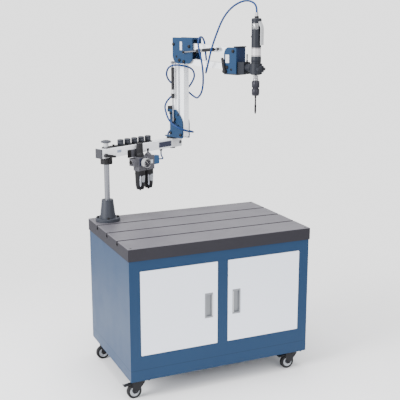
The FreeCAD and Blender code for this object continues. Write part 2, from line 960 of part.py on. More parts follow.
def build_doors():
    """Pan-shaped doors hinged on pins at their outer sides, each with a recessed pull."""
    front = -cabinet_size()[1] / 2
    bottom = door_bottom()
    for side, sign in (("left", -1), ("right", 1)):
        low_x = S.door_middle_gap / 2 if sign > 0 else -S.door_middle_gap / 2 - S.door_width
        door = Piece(f"{side}_door_pan")
        plan = rectangle(low_x, bottom, S.door_width, door_height())
        door.pad(door.sketch("XZ_Plane", [plan], front), S.door_thickness)
        door.round_corners("XZ_Plane", plan, S.door_corner_round)
        inner = rectangle(low_x + S.sheet, bottom + S.sheet, S.door_width - 2 * S.sheet,
                          door_height() - 2 * S.sheet)
        door.pocket(door.sketch("XZ_Plane", [inner], front + S.sheet), S.door_thickness)
        pull_x = (S.door_middle_gap / 2 + S.pull_from_edge + S.pull_width / 2) * sign
        pull_z = bottom + door_height() / 2 - S.pull_above_middle
        hole = centred(pull_x, pull_z, S.pull_width - 2 * S.pull_rim, S.pull_height - 2 * S.pull_rim)
        door.pocket(door.sketch("XZ_Plane", [hole], front - OVERRUN), S.sheet + 2 * OVERRUN)
        pin_top = rod(f"{side}_door_pin", (door_pin_x(sign), door_pin_y(), bottom - S.door_pin_length),
                      "z", S.door_pin_radius, door_height() + 2 * S.door_pin_length)
        middle = block(f"{side}_pin_gap", (door_pin_x(sign) - S.door_pin_inset, front, bottom + S.sheet),
                       (2 * S.door_pin_inset, S.door_thickness, door_height() - 2 * S.sheet))
        pins = cut(f"{side}_door_pins", pin_top, [middle])
        panel = fuse(f"{side}_door_panel", [door.body, pins])
        pull = Piece(f"{side}_door_pull")
        rim = centred(pull_x, pull_z, S.pull_width, S.pull_height)
        pull.pad(pull.sketch("XZ_Plane", [rim], front - S.pull_proud), S.pull_proud)
        pull.round_corners("XZ_Plane", rim, S.pull_corner_round)
        pull.pad(pull.sketch("XZ_Plane", [hole], front - S.pull_proud), S.pull_depth)
        cup = centred(pull_x, pull_z, S.pull_width - 2 * (S.pull_rim + S.pull_wall),
                      S.pull_height - 2 * (S.pull_rim + S.pull_wall))
        pull.pocket(pull.sketch("XZ_Plane", [cup], front - S.pull_proud - OVERRUN),
                    S.pull_depth + OVERRUN - S.pull_wall)
        keep(f"{side}_door", group(f"{side}_door_group", [panel, pull.body]))


def caster_spots():
    """Swivel axes of the four casters, set in from the cabinet's sides."""
    length, width = cabinet_size()
    x = length / 2 - S.caster_inset_x
    front = S.caster_front_inset - width / 2
    back = width / 2 - S.caster_back_inset
    return {"fl": (-x, front), "fr": (x, front), "bl": (-x, back), "br": (x, back)}


def build_casters():
    """Four swivel casters; the two front ones have a brake pedal."""
    plate_bottom = S.cabinet_bottom - S.caster_plate_thickness
    fork_top = plate_bottom
    plates = []
    for key, (x, y) in caster_spots().items():
        plate = block(f"plate_{key}", (x - S.caster_plate_x / 2, y - S.caster_plate_y / 2, plate_bottom),
                      (S.caster_plate_x, S.caster_plate_y, S.caster_plate_thickness))
        stem_low = plate_bottom - S.fork_head_height - S.fork_web - S.stem_end
        stem = rod(f"stem_{key}", (x, y, stem_low), "z", S.caster_stem_radius,
                   plate_bottom - stem_low + OVERRUN)
        nut = rod(f"stem_nut_{key}", (x, y, stem_low), "z", S.stem_nut_radius, S.stem_end)
        bolts = []
        for i in (-1, 1):
            for j in (-1, 1):
                spot_x = x + (S.caster_plate_x / 2 - S.plate_bolt_inset) * i
                spot_y = y + (S.caster_plate_y / 2 - S.plate_bolt_inset) * j
                spot = (spot_x, spot_y, plate_bottom - S.plate_bolt_head)
                bolts.append(rod(f"plate_bolt_{key}_{i}_{j}", spot, "z", S.plate_bolt_radius,
                                 S.plate_bolt_head + OVERRUN))
        plates.append(fuse(f"caster_plate_{key}", [plate, stem, nut] + bolts))
        build_fork(key, x, y, fork_top)
        build_wheel(key, x, y)
        if key in ("fl", "fr"):
            build_pedal(key, x, y, fork_top)
    keep("caster_plates", group("plate_group", plates))


def build_fork(key, x, y, top):
    """Pressed fork with a round swivel head, its axle and, in front, the pedal's pin."""
    fork = Piece(f"fork_{key}")
    web = top - S.fork_head_height
    reach = S.caster_trail
    outline = [(S.fork_front, web), (S.fork_front, web - S.fork_web * 2),
               (S.fork_boss - reach, S.wheel_radius - S.fork_boss),
               (-reach - S.fork_boss, S.wheel_radius - S.fork_boss),
               (-reach - S.fork_boss, S.wheel_radius + S.fork_boss), (-S.fork_back, web - S.fork_web * 3),
               (-S.fork_back, web)]
    width = S.wheel_width + 2 * (S.fork_gap + S.fork_thickness)
    fork.pad(fork.sketch("XZ_Plane", [outline]), width, both=True)
    fork.round_corners("XZ_Plane", outline[2:4], S.fork_round)
    fork.pad(fork.sketch("XY_Plane", [Ring(0, 0, S.fork_head_radius)], web - S.fork_web),
             S.fork_head_height + S.fork_web)
    gap = S.wheel_width / 2 + S.fork_gap
    inside = rectangle(-gap, 0, 2 * gap, web - S.fork_web)
    fork.pocket(fork.sketch("YZ_Plane", [inside]))
    bore = Ring(0, 0, S.caster_stem_radius + S.running_clearance)
    fork.pocket(fork.sketch("XY_Plane", [bore]))
    half = width / 2 + S.axle_head
    axle = rod(f"axle_{key}", (-reach, -half, S.wheel_radius), "y", S.axle_radius, 2 * half)
    parts = [fork.body, axle]
    for end, place in (("head", -half), ("nut", width / 2)):
        parts.append(rod(f"axle_{end}_{key}", (-reach, place, S.wheel_radius), "y",
                         S.axle_head_radius, S.axle_head))
    if key in ("fl", "fr"):
        pin_low = (-S.pedal_pivot_back, -width / 2, web - S.pedal_pivot_below)
        parts.append(rod(f"pedal_pin_{key}", pin_low, "y", S.pedal_pin_radius, width))
    whole = fuse(f"fork_with_axle_{key}", parts)
    keep(f"caster_fork_{key}", put(whole, (x, y, 0)))


def build_wheel(key, x, y):
    """Tyre on a dished hub that runs on the axle; profile is drawn once about its axis."""
    half = S.wheel_width / 2
    inner = S.wheel_radius - S.wheel_tyre
    tyre = turned(f"tyre_{key}", [
        (inner, -half), (S.wheel_radius - S.tyre_round, -half), (S.wheel_radius, S.tyre_round - half),
        (S.wheel_radius, half - S.tyre_round), (S.wheel_radius - S.tyre_round, half), (inner, half),
    ], (x - S.caster_trail, y, S.wheel_radius), "y")
    web = S.wheel_web / 2
    boss = half + S.fork_gap - S.running_clearance
    bore = S.axle_radius + S.running_clearance
    hub = turned(f"hub_{key}", [
        (bore, -boss), (S.wheel_hub_boss, -boss), (S.wheel_hub_boss, -web), (inner - S.wheel_rim, -web),
        (inner - S.wheel_rim, -half), (inner, -half), (inner, half), (inner - S.wheel_rim, half),
        (inner - S.wheel_rim, web), (S.wheel_hub_boss, web), (S.wheel_hub_boss, boss), (bore, boss),
    ], (x - S.caster_trail, y, S.wheel_radius), "y")
    keep(f"caster_wheel_{key}", group(f"wheel_group_{key}", [tyre, hub]))


def build_pedal(key, x, y, top):
    """Brake pedal that tips over the trailing side of the wheel."""
    pedal = Piece(f"pedal_{key}")
    pivot_x = -S.pedal_pivot_back
    pivot_z = top - S.fork_head_height - S.pedal_pivot_below
    tip_x = pivot_x - S.pedal_length
    tip_z = pivot_z - S.pedal_slope
    blade = [(pivot_x, pivot_z + S.pedal_thickness / 2), (tip_x, tip_z + S.pedal_thickness / 2),
             (tip_x - S.pedal_thickness, tip_z + S.pedal_thickness * 1.5),
             (tip_x - S.pedal_thickness, tip_z), (tip_x, tip_z - S.pedal_thickness / 2),
             (pivot_x, pivot_z - S.pedal_thickness / 2)]
    pedal.pad(pedal.sketch("XZ_Plane", [blade]), S.pedal_width, both=True)
    hub = Ring(pivot_x, pivot_z, S.pedal_hub_radius)
    pedal.pad(pedal.sketch("XZ_Plane", [hub]), S.pedal_width, both=True)
    bore = Ring(pivot_x, pivot_z, S.pedal_pin_radius + S.running_clearance)
    pedal.pocket(pedal.sketch("XZ_Plane", [bore]))
    keep(f"brake_pedal_{key}", put(pedal.body, (x, y, 0)))


def beam_bottom():
    return S.table_height + S.beam_bottom_above_table


def beam_top():
    return beam_bottom() + S.beam_side


def build_column():
    """Base flange with its cone, the post and the split collar under the beam."""
    flange = S.column_flange_thickness
    base = turned("column_base_solid", [
        (S.column_radius, 0), (S.column_flange_radius - S.flange_edge, 0),
        (S.column_flange_radius, S.flange_edge), (S.column_flange_radius, flange - S.flange_edge),
        (S.column_flange_radius - S.flange_edge, flange), (S.column_cone_low_radius, flange),
        (S.column_cone_top_radius, flange + S.column_cone_height),
        (S.column_radius, flange + S.column_cone_height),
    ], (column_x(), column_y(), S.table_height))
    holes = [rod(f"flange_hole_{index}", (x, y, S.table_height - OVERRUN), "z", S.screw_radius,
                 flange + 2 * OVERRUN) for index, (x, y) in enumerate(flange_spots())]
    keep("column_base", cut("column_base_drilled", base, holes))
    height = S.beam_bottom_above_table + S.beam_side
    bore = S.column_radius - S.column_wall
    thread = S.knob_stud_radius + S.running_clearance
    post = turned("column_post", [
        (bore, 0), (S.column_radius, 0), (S.column_radius, height), (thread, height),
        (thread, height - S.column_plug), (bore, height - S.column_plug),
    ], (column_x(), column_y(), S.table_height))
    keep("column_tube", post)
    top = S.beam_bottom_above_table
    low = top - S.collar_washer - S.collar_height
    ring = turned("collar_ring", [
        (S.column_radius, low), (S.collar_radius, low), (S.collar_radius, top - S.collar_washer),
        (S.collar_washer_radius, top - S.collar_washer), (S.collar_washer_radius, top),
        (S.column_radius, top),
    ], (column_x(), column_y(), S.table_height))
    slit = block("collar_slit_tool", (column_x() - S.collar_slit / 2, column_y() - S.collar_radius - OVERRUN,
                 S.table_height + low - OVERRUN),
                 (S.collar_slit, S.collar_radius + OVERRUN, S.collar_height + OVERRUN))
    screw_z = S.table_height + low + S.collar_height / 2
    screw_y = column_y() - (S.column_radius + S.collar_radius) / 2
    seat = rod("collar_counterbore", (column_x() + S.collar_screw_seat, screw_y, screw_z), "x",
               S.screw_head_radius, S.collar_radius)
    screw = rod("collar_screw", (column_x() - S.collar_screw_seat, screw_y, screw_z), "x",
                S.screw_radius, 2 * S.collar_screw_seat + OVERRUN)
    head = rod("collar_screw_head", (column_x() + S.collar_screw_seat, screw_y, screw_z), "x",
               S.screw_head_radius, S.screw_head_height)
    split = cut("collar_split", ring, [slit, seat])
    keep("column_collar", fuse("collar_whole", [split, screw, head]))


def build_beam():
    """Square beam with its bearing sleeve, end cap, arm socket block and the tool rail."""
    half = S.beam_side / 2
    tube_right = beam_socket_left()
    beam = Piece("beam_profile")
    section = centred(0, beam_bottom() + half, S.beam_side, S.beam_side)
    beam.pad(beam.sketch("YZ_Plane", [section], -S.beam_left), tube_right + S.beam_left)
    beam.round_corners("YZ_Plane", section, S.beam_corner_round)
    hollow = centred(0, beam_bottom() + half, S.beam_side - 2 * S.beam_wall, S.beam_side - 2 * S.beam_wall)
    beam.pocket(beam.sketch("YZ_Plane", [hollow]))
    sleeve = Ring(0, 0, S.column_radius + S.bearing_wall)
    beam.pad(beam.sketch("XY_Plane", [sleeve], beam_bottom()), S.beam_side)
    beam.pocket(beam.sketch("XY_Plane", [Ring(0, 0, S.column_radius + S.running_clearance)]))
    keep("beam_tube", beam.body, beam_frame)
    cap = block("cap_plate", (-S.beam_left - S.end_cap_thickness, -half, beam_bottom()),
                (S.end_cap_thickness, S.beam_side, S.beam_side))
    plug = half - S.beam_wall
    tongue = block("cap_tongue", (-S.beam_left - OVERRUN, -plug, beam_top() - half - plug),
                   (S.cap_tongue + OVERRUN, 2 * plug, 2 * plug))
    keep("beam_end_cap", fuse("cap_whole", [cap, tongue]), beam_frame)
    socket = Piece("socket_profile")
    length = beam_right() - beam_socket_left()
    plan = rectangle(beam_socket_left(), beam_bottom(), length, S.beam_side)
    socket.pad(socket.sketch("XZ_Plane", [plan]), S.beam_side, both=True)
    socket.round_corners("XZ_Plane", plan[1:3], S.socket_round)
    spigot = centred(0, beam_bottom() + half, 2 * plug, 2 * plug)
    socket.pad(socket.sketch("YZ_Plane", [spigot], beam_socket_left() - S.cap_tongue),
               S.cap_tongue + OVERRUN)
    bore = Ring(S.swivel_reach, 0, S.swivel_pin_radius + S.running_clearance)
    socket.pocket(socket.sketch("XY_Plane", [bore]))
    middle = beam_bottom() + half
    button_base = (S.swivel_reach + S.end_button_beyond, -half - S.end_button_depth, middle)
    button = rod("socket_button", button_base, "y", S.end_button_radius, S.end_button_depth + OVERRUN)
    gland_base = (S.swivel_reach + S.hose_exit_beyond, half - OVERRUN, middle)
    gland = rod("hose_gland", gland_base, "y", S.gland_radius, S.gland_length + OVERRUN)
    keep("beam_end_block", fuse("socket_whole", [socket.body, button, gland]), beam_frame)
    rail = Piece("rail_profile")
    plan = centred((S.rail_left + S.rail_right) / 2, 0, S.rail_right - S.rail_left, S.rail_width)
    rail.pad(rail.sketch("XY_Plane", [plan], beam_top()), S.rail_thickness)
    rail.round_corners("XY_Plane", plan, S.rail_corner_round)
    upper = beam_top().value + S.rail_thickness.value
    rail.round(rail.edges_in(lambda point: abs(point.z - upper) < NEAR), S.rail_chamfer, "Chamfer")
    pegs = [Ring(S.adapter_first + S.adapter_pitch * number, 0, S.adapter_bore) for number in range(-1, 5)]
    rail.pad(rail.sketch("XY_Plane", pegs, beam_top() + S.rail_thickness - OVERRUN),
             S.peg_height + OVERRUN)
    keep("tool_rail", rail.body, beam_frame)
    adapters = []
    for number in range(5):
        x = S.adapter_first + S.adapter_pitch * number
        tall = S.adapter_height
        waist = S.adapter_radius - S.adapter_groove
        adapters.append(turned(f"adapter_{number}", [
            (S.adapter_bore, 0), (S.adapter_radius - S.adapter_edge, 0), (S.adapter_radius, S.adapter_edge),
            (S.adapter_radius, tall * 0.45), (waist, tall * 0.5), (waist, tall * 0.62),
            (S.adapter_radius, tall * 0.67), (S.adapter_radius, tall - S.adapter_edge),
            (S.adapter_radius - S.adapter_edge, tall), (S.adapter_bore, tall),
        ], (x, 0, beam_top() + S.rail_thickness)))
    keep("tap_adapters", group("adapter_group", adapters), beam_frame)
    disc_low = S.knob_flange_height + S.knob_neck_height
    knob = turned("top_knob_solid", [
        (0, -S.knob_stud_length), (S.knob_stud_radius, -S.knob_stud_length), (S.knob_stud_radius, 0),
        (S.knob_flange_radius, 0), (S.knob_flange_radius, S.knob_flange_height),
        (S.knob_neck_radius, S.knob_flange_height), (S.knob_neck_radius, disc_low),
        (S.knob_disc_radius - S.knob_dome, disc_low), (S.knob_disc_radius, disc_low + S.knob_dome),
        (S.knob_disc_radius - S.knob_dome, disc_low + S.knob_disc_height * 0.7),
        (S.knob_disc_radius * 0.5, disc_low + S.knob_disc_height),
        (0, disc_low + S.knob_disc_height * 1.1),
    ], (0, 0, beam_top()))
    keep("top_knob", knob, beam_frame)
    clamp_lever = lever("beam_lever_solid", S.lever_reach, middle - S.beam_lever_drop, -half,
                        S.lever_length, S.lever_rise)
    keep("beam_lever", clamp_lever, beam_frame)


def lever(name, x, z, face, length, rise):
    """Clamping lever: ratchet hub on a face towards -Y with a tapered arm towards +X."""
    hub = turned(name + "_hub", [
        (0, 0), (S.lever_stud_radius, 0), (S.lever_stud_radius, S.lever_stud_gap),
        (S.lever_hub_radius, S.lever_stud_gap), (S.lever_hub_radius, S.lever_hub_depth),
        (S.lever_hub_radius * 0.8, S.lever_hub_depth + S.lever_hub_dome),
        (0, S.lever_hub_depth + S.lever_hub_dome),
    ], (x, face, z), "-y")
    arm = Piece(name + "_arm")
    low = S.lever_hub_radius * 0.75
    tip = S.lever_radius
    outline = [(x, z - low), (x + length - tip, z + rise - tip), (x + length, z + rise - tip * 0.5),
               (x + length, z + rise + tip * 0.5), (x + length - tip, z + rise + tip), (x, z + low)]
    arm.pad(arm.sketch("XZ_Plane", [outline], face - S.lever_hub_depth),
            S.lever_hub_depth - S.lever_stud_gap)
    arm.round_corners("XZ_Plane", outline[1:5], S.lever_tip_round)
    return fuse(name, [hub, arm.body])


def build_air_unit():
    """Filter regulator and lubricator side by side, with gauge, bracket and outlet."""
    half = S.beam_side / 2
    bottom = S.table_height + S.air_body_bottom
    top = bottom + S.air_body_height
    y = -S.air_unit_setback
    wide = S.air_unit_pitch - S.air_unit_gap
    solids = []
    bowls = []
    for number in range(2):
        x = S.air_unit_left + S.air_unit_pitch * number
        body = Piece(f"air_body_{number}")
        plan = centred(x, y, wide, S.air_unit_depth)
        body.pad(body.sketch("XY_Plane", [plan], bottom), S.air_body_height)
        body.round_corners("XY_Plane", plan, S.air_unit_round)
        solids.append(body.body)
        low = bottom - S.bowl_length
        ring = S.bowl_length - S.bowl_ring
        waist = S.bowl_radius - S.bowl_groove
        bowls.append(turned(f"bowl_{number}", [
            (0, -S.bowl_drain_length), (S.bowl_drain_radius, -S.bowl_drain_length),
            (S.bowl_drain_radius, 0), (S.bowl_tip_radius, 0),
            (S.bowl_radius - S.bowl_taper, S.bowl_tip_radius), (S.bowl_radius, ring), (waist, ring),
            (waist, ring + S.bowl_groove), (S.bowl_radius, ring + S.bowl_groove),
            (S.bowl_radius, S.bowl_length), (0, S.bowl_length),
        ], (x, y, low)))
    joint_x = S.air_unit_left + wide / 2
    solids.append(block("air_body_link", (joint_x, y - S.air_link_depth / 2, bottom + S.air_unit_round),
                        (S.air_unit_gap, S.air_link_depth, S.air_body_height - 2 * S.air_unit_round)))
    left = S.air_unit_left - wide / 2
    inlet_z = top - S.inlet_block_height
    inlet = block("inlet_block", (left - S.inlet_block_width, y - S.inlet_block_depth / 2, inlet_z),
                  (S.inlet_block_width, S.inlet_block_depth, S.inlet_block_height))
    middle_z = inlet_z + S.inlet_block_height / 2
    port = rod("inlet_port", (left - S.inlet_block_width - S.port_length, y, middle_z), "x", S.port_radius,
               S.port_length)
    port_bore = rod("inlet_bore", (left - S.inlet_block_width - S.port_length - OVERRUN, y, middle_z), "x",
                    S.port_radius - S.sheet, S.port_length + S.inlet_block_width / 2)
    solids.append(cut("inlet", fuse("inlet_with_port", [inlet, port]), [port_bore]))
    bracket_right = S.air_unit_left + S.air_unit_pitch + wide / 2
    upright = block("bracket_upright", (S.bracket_left, -half - S.bracket_plate, top),
                    (S.bracket_width, S.bracket_plate, S.bracket_height))
    shelf_front = y - S.air_unit_depth / 2 + S.air_unit_round
    shelf = block("bracket_shelf", (left, shelf_front, top),
                  (bracket_right - left, -half - shelf_front, S.bracket_plate))
    ports = []
    for number in range(2):
        hole_low = (S.air_unit_left + S.air_unit_pitch * number, y, top - OVERRUN)
        ports.append(rod(f"shelf_hole_{number}", hole_low, "z", S.lubricator_dome_radius,
                         S.bracket_plate + 2 * OVERRUN))
    bolt_base = (S.bracket_bolt_x, -half - S.bracket_plate - S.pin_head_height,
                 beam_bottom() + S.bracket_bolt_rise)
    bolt = rod("bracket_bolt", bolt_base, "y", S.screw_head_radius, S.pin_head_height + OVERRUN)
    drilled = cut("bracket_drilled", fuse("bracket_bent", [upright, shelf]), ports)
    solids.append(fuse("bracket", [drilled, bolt]))
    stud = turned("regulator_stud", [
        (0, 0), (S.lubricator_dome_radius, 0), (S.lubricator_dome_radius, S.bracket_plate),
        (S.regulator_stud_radius, S.bracket_plate), (S.regulator_stud_radius, S.regulator_stud_height),
        (0, S.regulator_stud_height),
    ], (S.air_unit_left, y, top))
    dome_x = S.air_unit_left + S.air_unit_pitch
    dome = turned("lubricator_dome", [
        (0, 0), (S.lubricator_dome_radius, 0),
        (S.lubricator_dome_radius, S.lubricator_dome_height * 0.6),
        (S.lubricator_dome_radius * 0.7, S.lubricator_dome_height),
        (S.drip_stem_radius, S.lubricator_dome_height),
        (S.drip_stem_radius, S.lubricator_dome_height + S.drip_stem_height),
        (0, S.lubricator_dome_height + S.drip_stem_height),
    ], (dome_x, y, top))
    solids += [stud, dome]
    keep("air_unit_bodies", group("air_unit_group", solids), beam_frame)
    keep("air_unit_bowls", group("bowl_group", bowls), beam_frame)
    gauge_z = bottom + S.gauge_rise
    front = y - S.air_unit_depth / 2
    reach = S.gauge_stem + S.gauge_depth
    keep("pressure_gauge", turned("gauge_solid", [
        (0, 0), (S.gauge_stem_radius, 0), (S.gauge_stem_radius, S.gauge_stem),
        (S.gauge_radius * 0.8, S.gauge_stem),
        (S.gauge_radius, S.gauge_stem + S.gauge_lip), (S.gauge_radius, reach),
        (S.gauge_radius - S.gauge_lip, reach), (S.gauge_radius - S.gauge_lip, reach - S.gauge_lip),
        (0, reach - S.gauge_lip),
    ], (S.air_unit_left, front, gauge_z), "-y"), beam_frame)
    knob = Piece("regulator_knob_solid")
    bore = S.regulator_stud_radius + S.running_clearance
    low = S.bracket_plate + S.knob_lift
    knob.revolve(knob.sketch("XZ_Plane", [[
        (bore, low), (S.regulator_low_radius, low),
        (S.regulator_low_radius, low + S.regulator_knob_height * 0.24),
        (S.regulator_low_radius - S.knob_dome, low + S.regulator_knob_height * 0.28),
        (S.regulator_top_radius, low + S.regulator_knob_height * 0.95),
        (S.regulator_top_radius * 0.9, low + S.regulator_knob_height),
        (0, low + S.regulator_knob_height), (0, S.regulator_stud_height + S.knob_lift),
        (bore, S.regulator_stud_height + S.knob_lift),
    ]]))
    flute = knob.sketch("XY_Plane", [Ring(S.regulator_top_radius + S.knob_flute * 0.8, 0, S.knob_flute)],
                        low + S.regulator_knob_height * 0.3)
    first = knob.pocket(flute, S.regulator_knob_height, 1)
    knob.repeat("PolarPattern", first, (flute[0], ["N_Axis"]), 360, 12)
    keep("regulator_knob", put(knob.body, (S.air_unit_left, y, top)), beam_frame)
    drip_z = top + S.lubricator_dome_height + S.drip_stem_height
    drip = turned("drip_solid", [
        (0, 0), (S.drip_knob_radius, 0), (S.drip_knob_radius, S.drip_knob_height * 0.8),
        (S.drip_knob_radius * 0.7, S.drip_knob_height), (0, S.drip_knob_height),
    ], (dome_x, y, drip_z))
    keep("drip_knob", drip, beam_frame)
    outlet_x = bracket_right
    outlet_z = bottom + S.outlet_rise
    outlet = Piece("outlet_profile")
    plan = rectangle(outlet_x, outlet_z, S.outlet_block_width, S.outlet_block_height)
    outlet.pad(outlet.sketch("XZ_Plane", [plan], y - S.outlet_block_depth / 2), S.outlet_block_depth)
    outlet.round_corners("XZ_Plane", plan[1:3], S.air_unit_round)
    pipe_z = outlet_z + S.outlet_block_height / 2
    pipe_x = outlet_x + S.outlet_block_width
    end_x = S.pipe_end_x
    gland_low = (end_x, S.pipe_end_y, beam_bottom() - S.gland_height)
    pipe = tube("air_pipe", S.air_pipe_radius, [
        (pipe_x, y, pipe_z),
        (pipe_x + (end_x - pipe_x) * 0.84, y + S.pipe_step * 0.3, pipe_z - S.pipe_sag),
        (end_x, S.pipe_end_y, pipe_z + S.pipe_sag * 0.8), gland_low,
    ])
    gland = rod("pipe_gland", gland_low, "z", S.gland_radius, S.gland_height)
    keep("outlet_block", group("outlet_group", [outlet.body, pipe, gland]), beam_frame)


def cross_pin(name, s, h, half_width, grip=None):
    """Pin across two plates with a head at each end; the shank fills the gap or a given grip."""
    grip = half_width if grip is None else grip
    length = half_width + S.pin_head_height
    shank = rod(name + "_shank", (s, -grip, h), "y", S.pin_radius, 2 * grip)
    near = rod(name + "_near_head", (s, -length, h), "y", S.pin_head_radius, S.pin_head_height)
    far = rod(name + "_far_head", (s, half_width, h), "y", S.pin_head_radius, S.pin_head_height)
    return [shank, near, far]


def side_plates(name, outline, rounds, half_width, holes=()):
    """Two equal plates, facing each other across the arm's middle plane."""
    plates = Piece(name)
    plates.pad(plates.sketch("XZ_Plane", [outline]), 2 * half_width, both=True)
    for corners, radius in rounds:
        plates.round_corners("XZ_Plane", corners, radius)
    gap = half_width - S.plate
    heights = sorted((as_size(v) for u, v in outline), key=lambda size: size.value)
    low = heights[0] - OVERRUN
    inside = rectangle(-gap, low, 2 * gap, heights[-1] + OVERRUN - low)
    plates.pocket(plates.sketch("YZ_Plane", [inside]))
    if holes:
        plates.pocket(plates.sketch("XZ_Plane", [Ring(s, h, radius) for s, h, radius in holes]))
    return plates.body


def level(rise):
    """Height above the beam's top, in the model."""
    return beam_top() + rise


def lower_pivots():
    front = (S.front_pivot_s, level(S.front_pivot_rise))
    rear = (front[0] - S.rung_s, front[1] + S.rung_rise)
    return front, rear


def elbow_pivots():
    """Top ends of the two lower bars, and the roots of the two upper bars."""
    front, rear = lower_pivots()
    front_top = (front[0], front[1] + S.lower_arm_length)
    rear_top = (rear[0], rear[1] + S.lower_arm_length)
    under = (front_top[0] + S.upper_pivot_s, front_top[1] - S.upper_pivot_drop)
    over = (under[0] + S.upper_rung_s, under[1] + S.upper_rung_rise)
    return front_top, rear_top, under, over


def head_pivots():
    under, over = elbow_pivots()[2:]
    reach = S.upper_arm_length * cosine(S.upper_arm_angle)
    fall = S.upper_arm_length * sine(S.upper_arm_angle)
    return (under[0] + reach, under[1] - fall), (over[0] + reach, over[1] - fall)


def build_arm_base():
    """Swivel collar with its pin through the beam, and the lower bracket with its buffer."""
    below = S.beam_side + S.swivel_nut_height
    collar = turned("swivel_collar_solid", [
        (0, -below), (S.swivel_nut_radius, -below), (S.swivel_nut_radius, -S.beam_side),
        (S.swivel_pin_radius, -S.beam_side), (S.swivel_pin_radius, 0), (S.turntable_radius, 0),
        (S.turntable_radius, S.turntable_height - S.collar_step),
        (S.turntable_radius - S.collar_step, S.turntable_height), (0, S.turntable_height),
    ], (0, 0, beam_top()))
    keep("swivel_collar", collar, arm_frame)
    half = S.base_half_width
    low = level(S.turntable_height)
    outline = [
        (S.base_left, low), (S.base_right, low), (S.base_right, low + S.base_shoulder),
        (S.base_right * 0.97, low + S.base_shoulder * 1.28),
        (S.base_right * 0.79, low + S.base_shoulder * 1.65),
        (S.base_neck_right, low + S.base_height), (S.tab_left, low + S.base_height),
        (S.tab_left, low + S.base_height - S.tab_height), (S.base_left, low + S.base_height - S.tab_height),
    ]
    front, rear = lower_pivots()
    plates = side_plates("base_plates", outline, [([outline[1], outline[2]], S.base_round)], half,
                         [(S.base_hole_s, low + S.base_hole_rise, S.base_hole_radius)])
    floor = block("base_floor", (-S.turntable_radius, -half, low),
                  (S.turntable_radius + S.base_floor_reach, 2 * half, S.plate))
    bridge = block("buffer_bridge", (S.tab_left, -half + S.plate, low + S.base_height - S.tab_bridge),
                   (S.buffer_right - S.tab_left - S.buffer_gap, 2 * (half - S.plate), S.tab_bridge))
    pins = cross_pin("front_base_pin", *front, half) + cross_pin("rear_base_pin", *rear, half)
    pins += cross_pin("low_spacer", S.spacer_s, low + S.spacer_low, half)
    pins += cross_pin("high_spacer", S.spacer_s, low + S.spacer_high, half)
    anchor = lower_spring_ends()[0]
    end = S.lower_spring_out + S.spring_eye_width / 2 + S.stud_cap
    tip = (anchor[0], -end, anchor[1])
    stud = rod("lower_spring_stud", tip, "y", S.spring_stud_radius, end - half + S.plate)
    cap = rod("lower_spring_stud_cap", tip, "y", S.stud_cap_radius, S.stud_cap)
    body = fuse("base_whole", [plates, floor, bridge, stud, cap] + pins)
    buffer = block("rubber_buffer", (S.tab_left, -S.buffer_half_width, low + S.base_height),
                   (S.buffer_right - S.tab_left, 2 * S.buffer_half_width, S.buffer_height))
    keep("lower_bracket", group("base_group", [body, buffer]), arm_frame)


def bar(name, start, angle, length, stud=None):
    """Square tube arm link with bearing sleeves at both ends; drawn upright, then turned."""
    half = S.bar_depth / 2
    link = Piece(name + "_profile")
    plan = rectangle(-half, -half, S.bar_depth, length + S.bar_depth)
    link.pad(link.sketch("XZ_Plane", [plan]), S.bar_width, both=True)
    link.round_corners("XZ_Plane", plan, half - S.running_clearance)
    hollow = centred(0, 0, S.bar_depth - 2 * S.bar_wall, S.bar_width - 2 * S.bar_wall)
    link.pocket(link.sketch("XY_Plane", [hollow]))
    sleeve = S.pin_radius + S.bar_sleeve_wall
    sleeves = [Ring(0, 0, sleeve), Ring(0, length, sleeve)]
    link.pad(link.sketch("XZ_Plane", sleeves), S.bar_width, both=True)
    bore = S.pin_radius + S.running_clearance
    link.pocket(link.sketch("XZ_Plane", [Ring(0, 0, bore), Ring(0, length, bore)]))
    parts = [link.body]
    if stud is not None:
        along, across, out = stud
        end = out + S.spring_eye_width / 2 + S.stud_cap
        inner = S.bar_width / 2 - S.bar_wall
        parts.append(rod(name + "_stud", (across, -end, along), "y", S.spring_stud_radius, end - inner))
        parts.append(rod(name + "_stud_cap", (across, -end, along), "y", S.stud_cap_radius, S.stud_cap))
        face = out - S.spring_eye_width / 2
        parts.append(rod(name + "_stud_boss", (across, -face, along), "y", S.stud_cap_radius, face - inner))
        whole = fuse(name + "_whole", parts)
    else:
        whole = link.body
    whole.Placement = Placement(Vector(), Rotation(Vector(0, 1, 0), angle.value))
    whole.setExpression("Placement.Rotation.Angle", f"{angle.text} * 1 deg")
    return put(whole, (start[0], 0, start[1]))


def lower_spring_ends():
    """Anchor on the lower bracket and stud on the rear bar, in the arm's plane."""
    rear = lower_pivots()[1]
    return (rear[0] - S.lower_anchor_back, rear[1] - S.lower_anchor_drop), \
           (rear[0] - S.lower_stud_back, rear[1] + S.lower_stud_up)


def upper_spring_ends():
    """Anchor on the elbow plate and stud on the top bar, in the arm's plane."""
    under, over = elbow_pivots()[2:]
    along = S.upper_stud_along
    reach = along * cosine(S.upper_arm_angle) + S.upper_stud_across * sine(S.upper_arm_angle)
    fall = along * sine(S.upper_arm_angle) - S.upper_stud_across * cosine(S.upper_arm_angle)
    return (over[0] - S.upper_anchor_back, over[1] - S.upper_anchor_drop), (over[0] + reach, over[1] - fall)


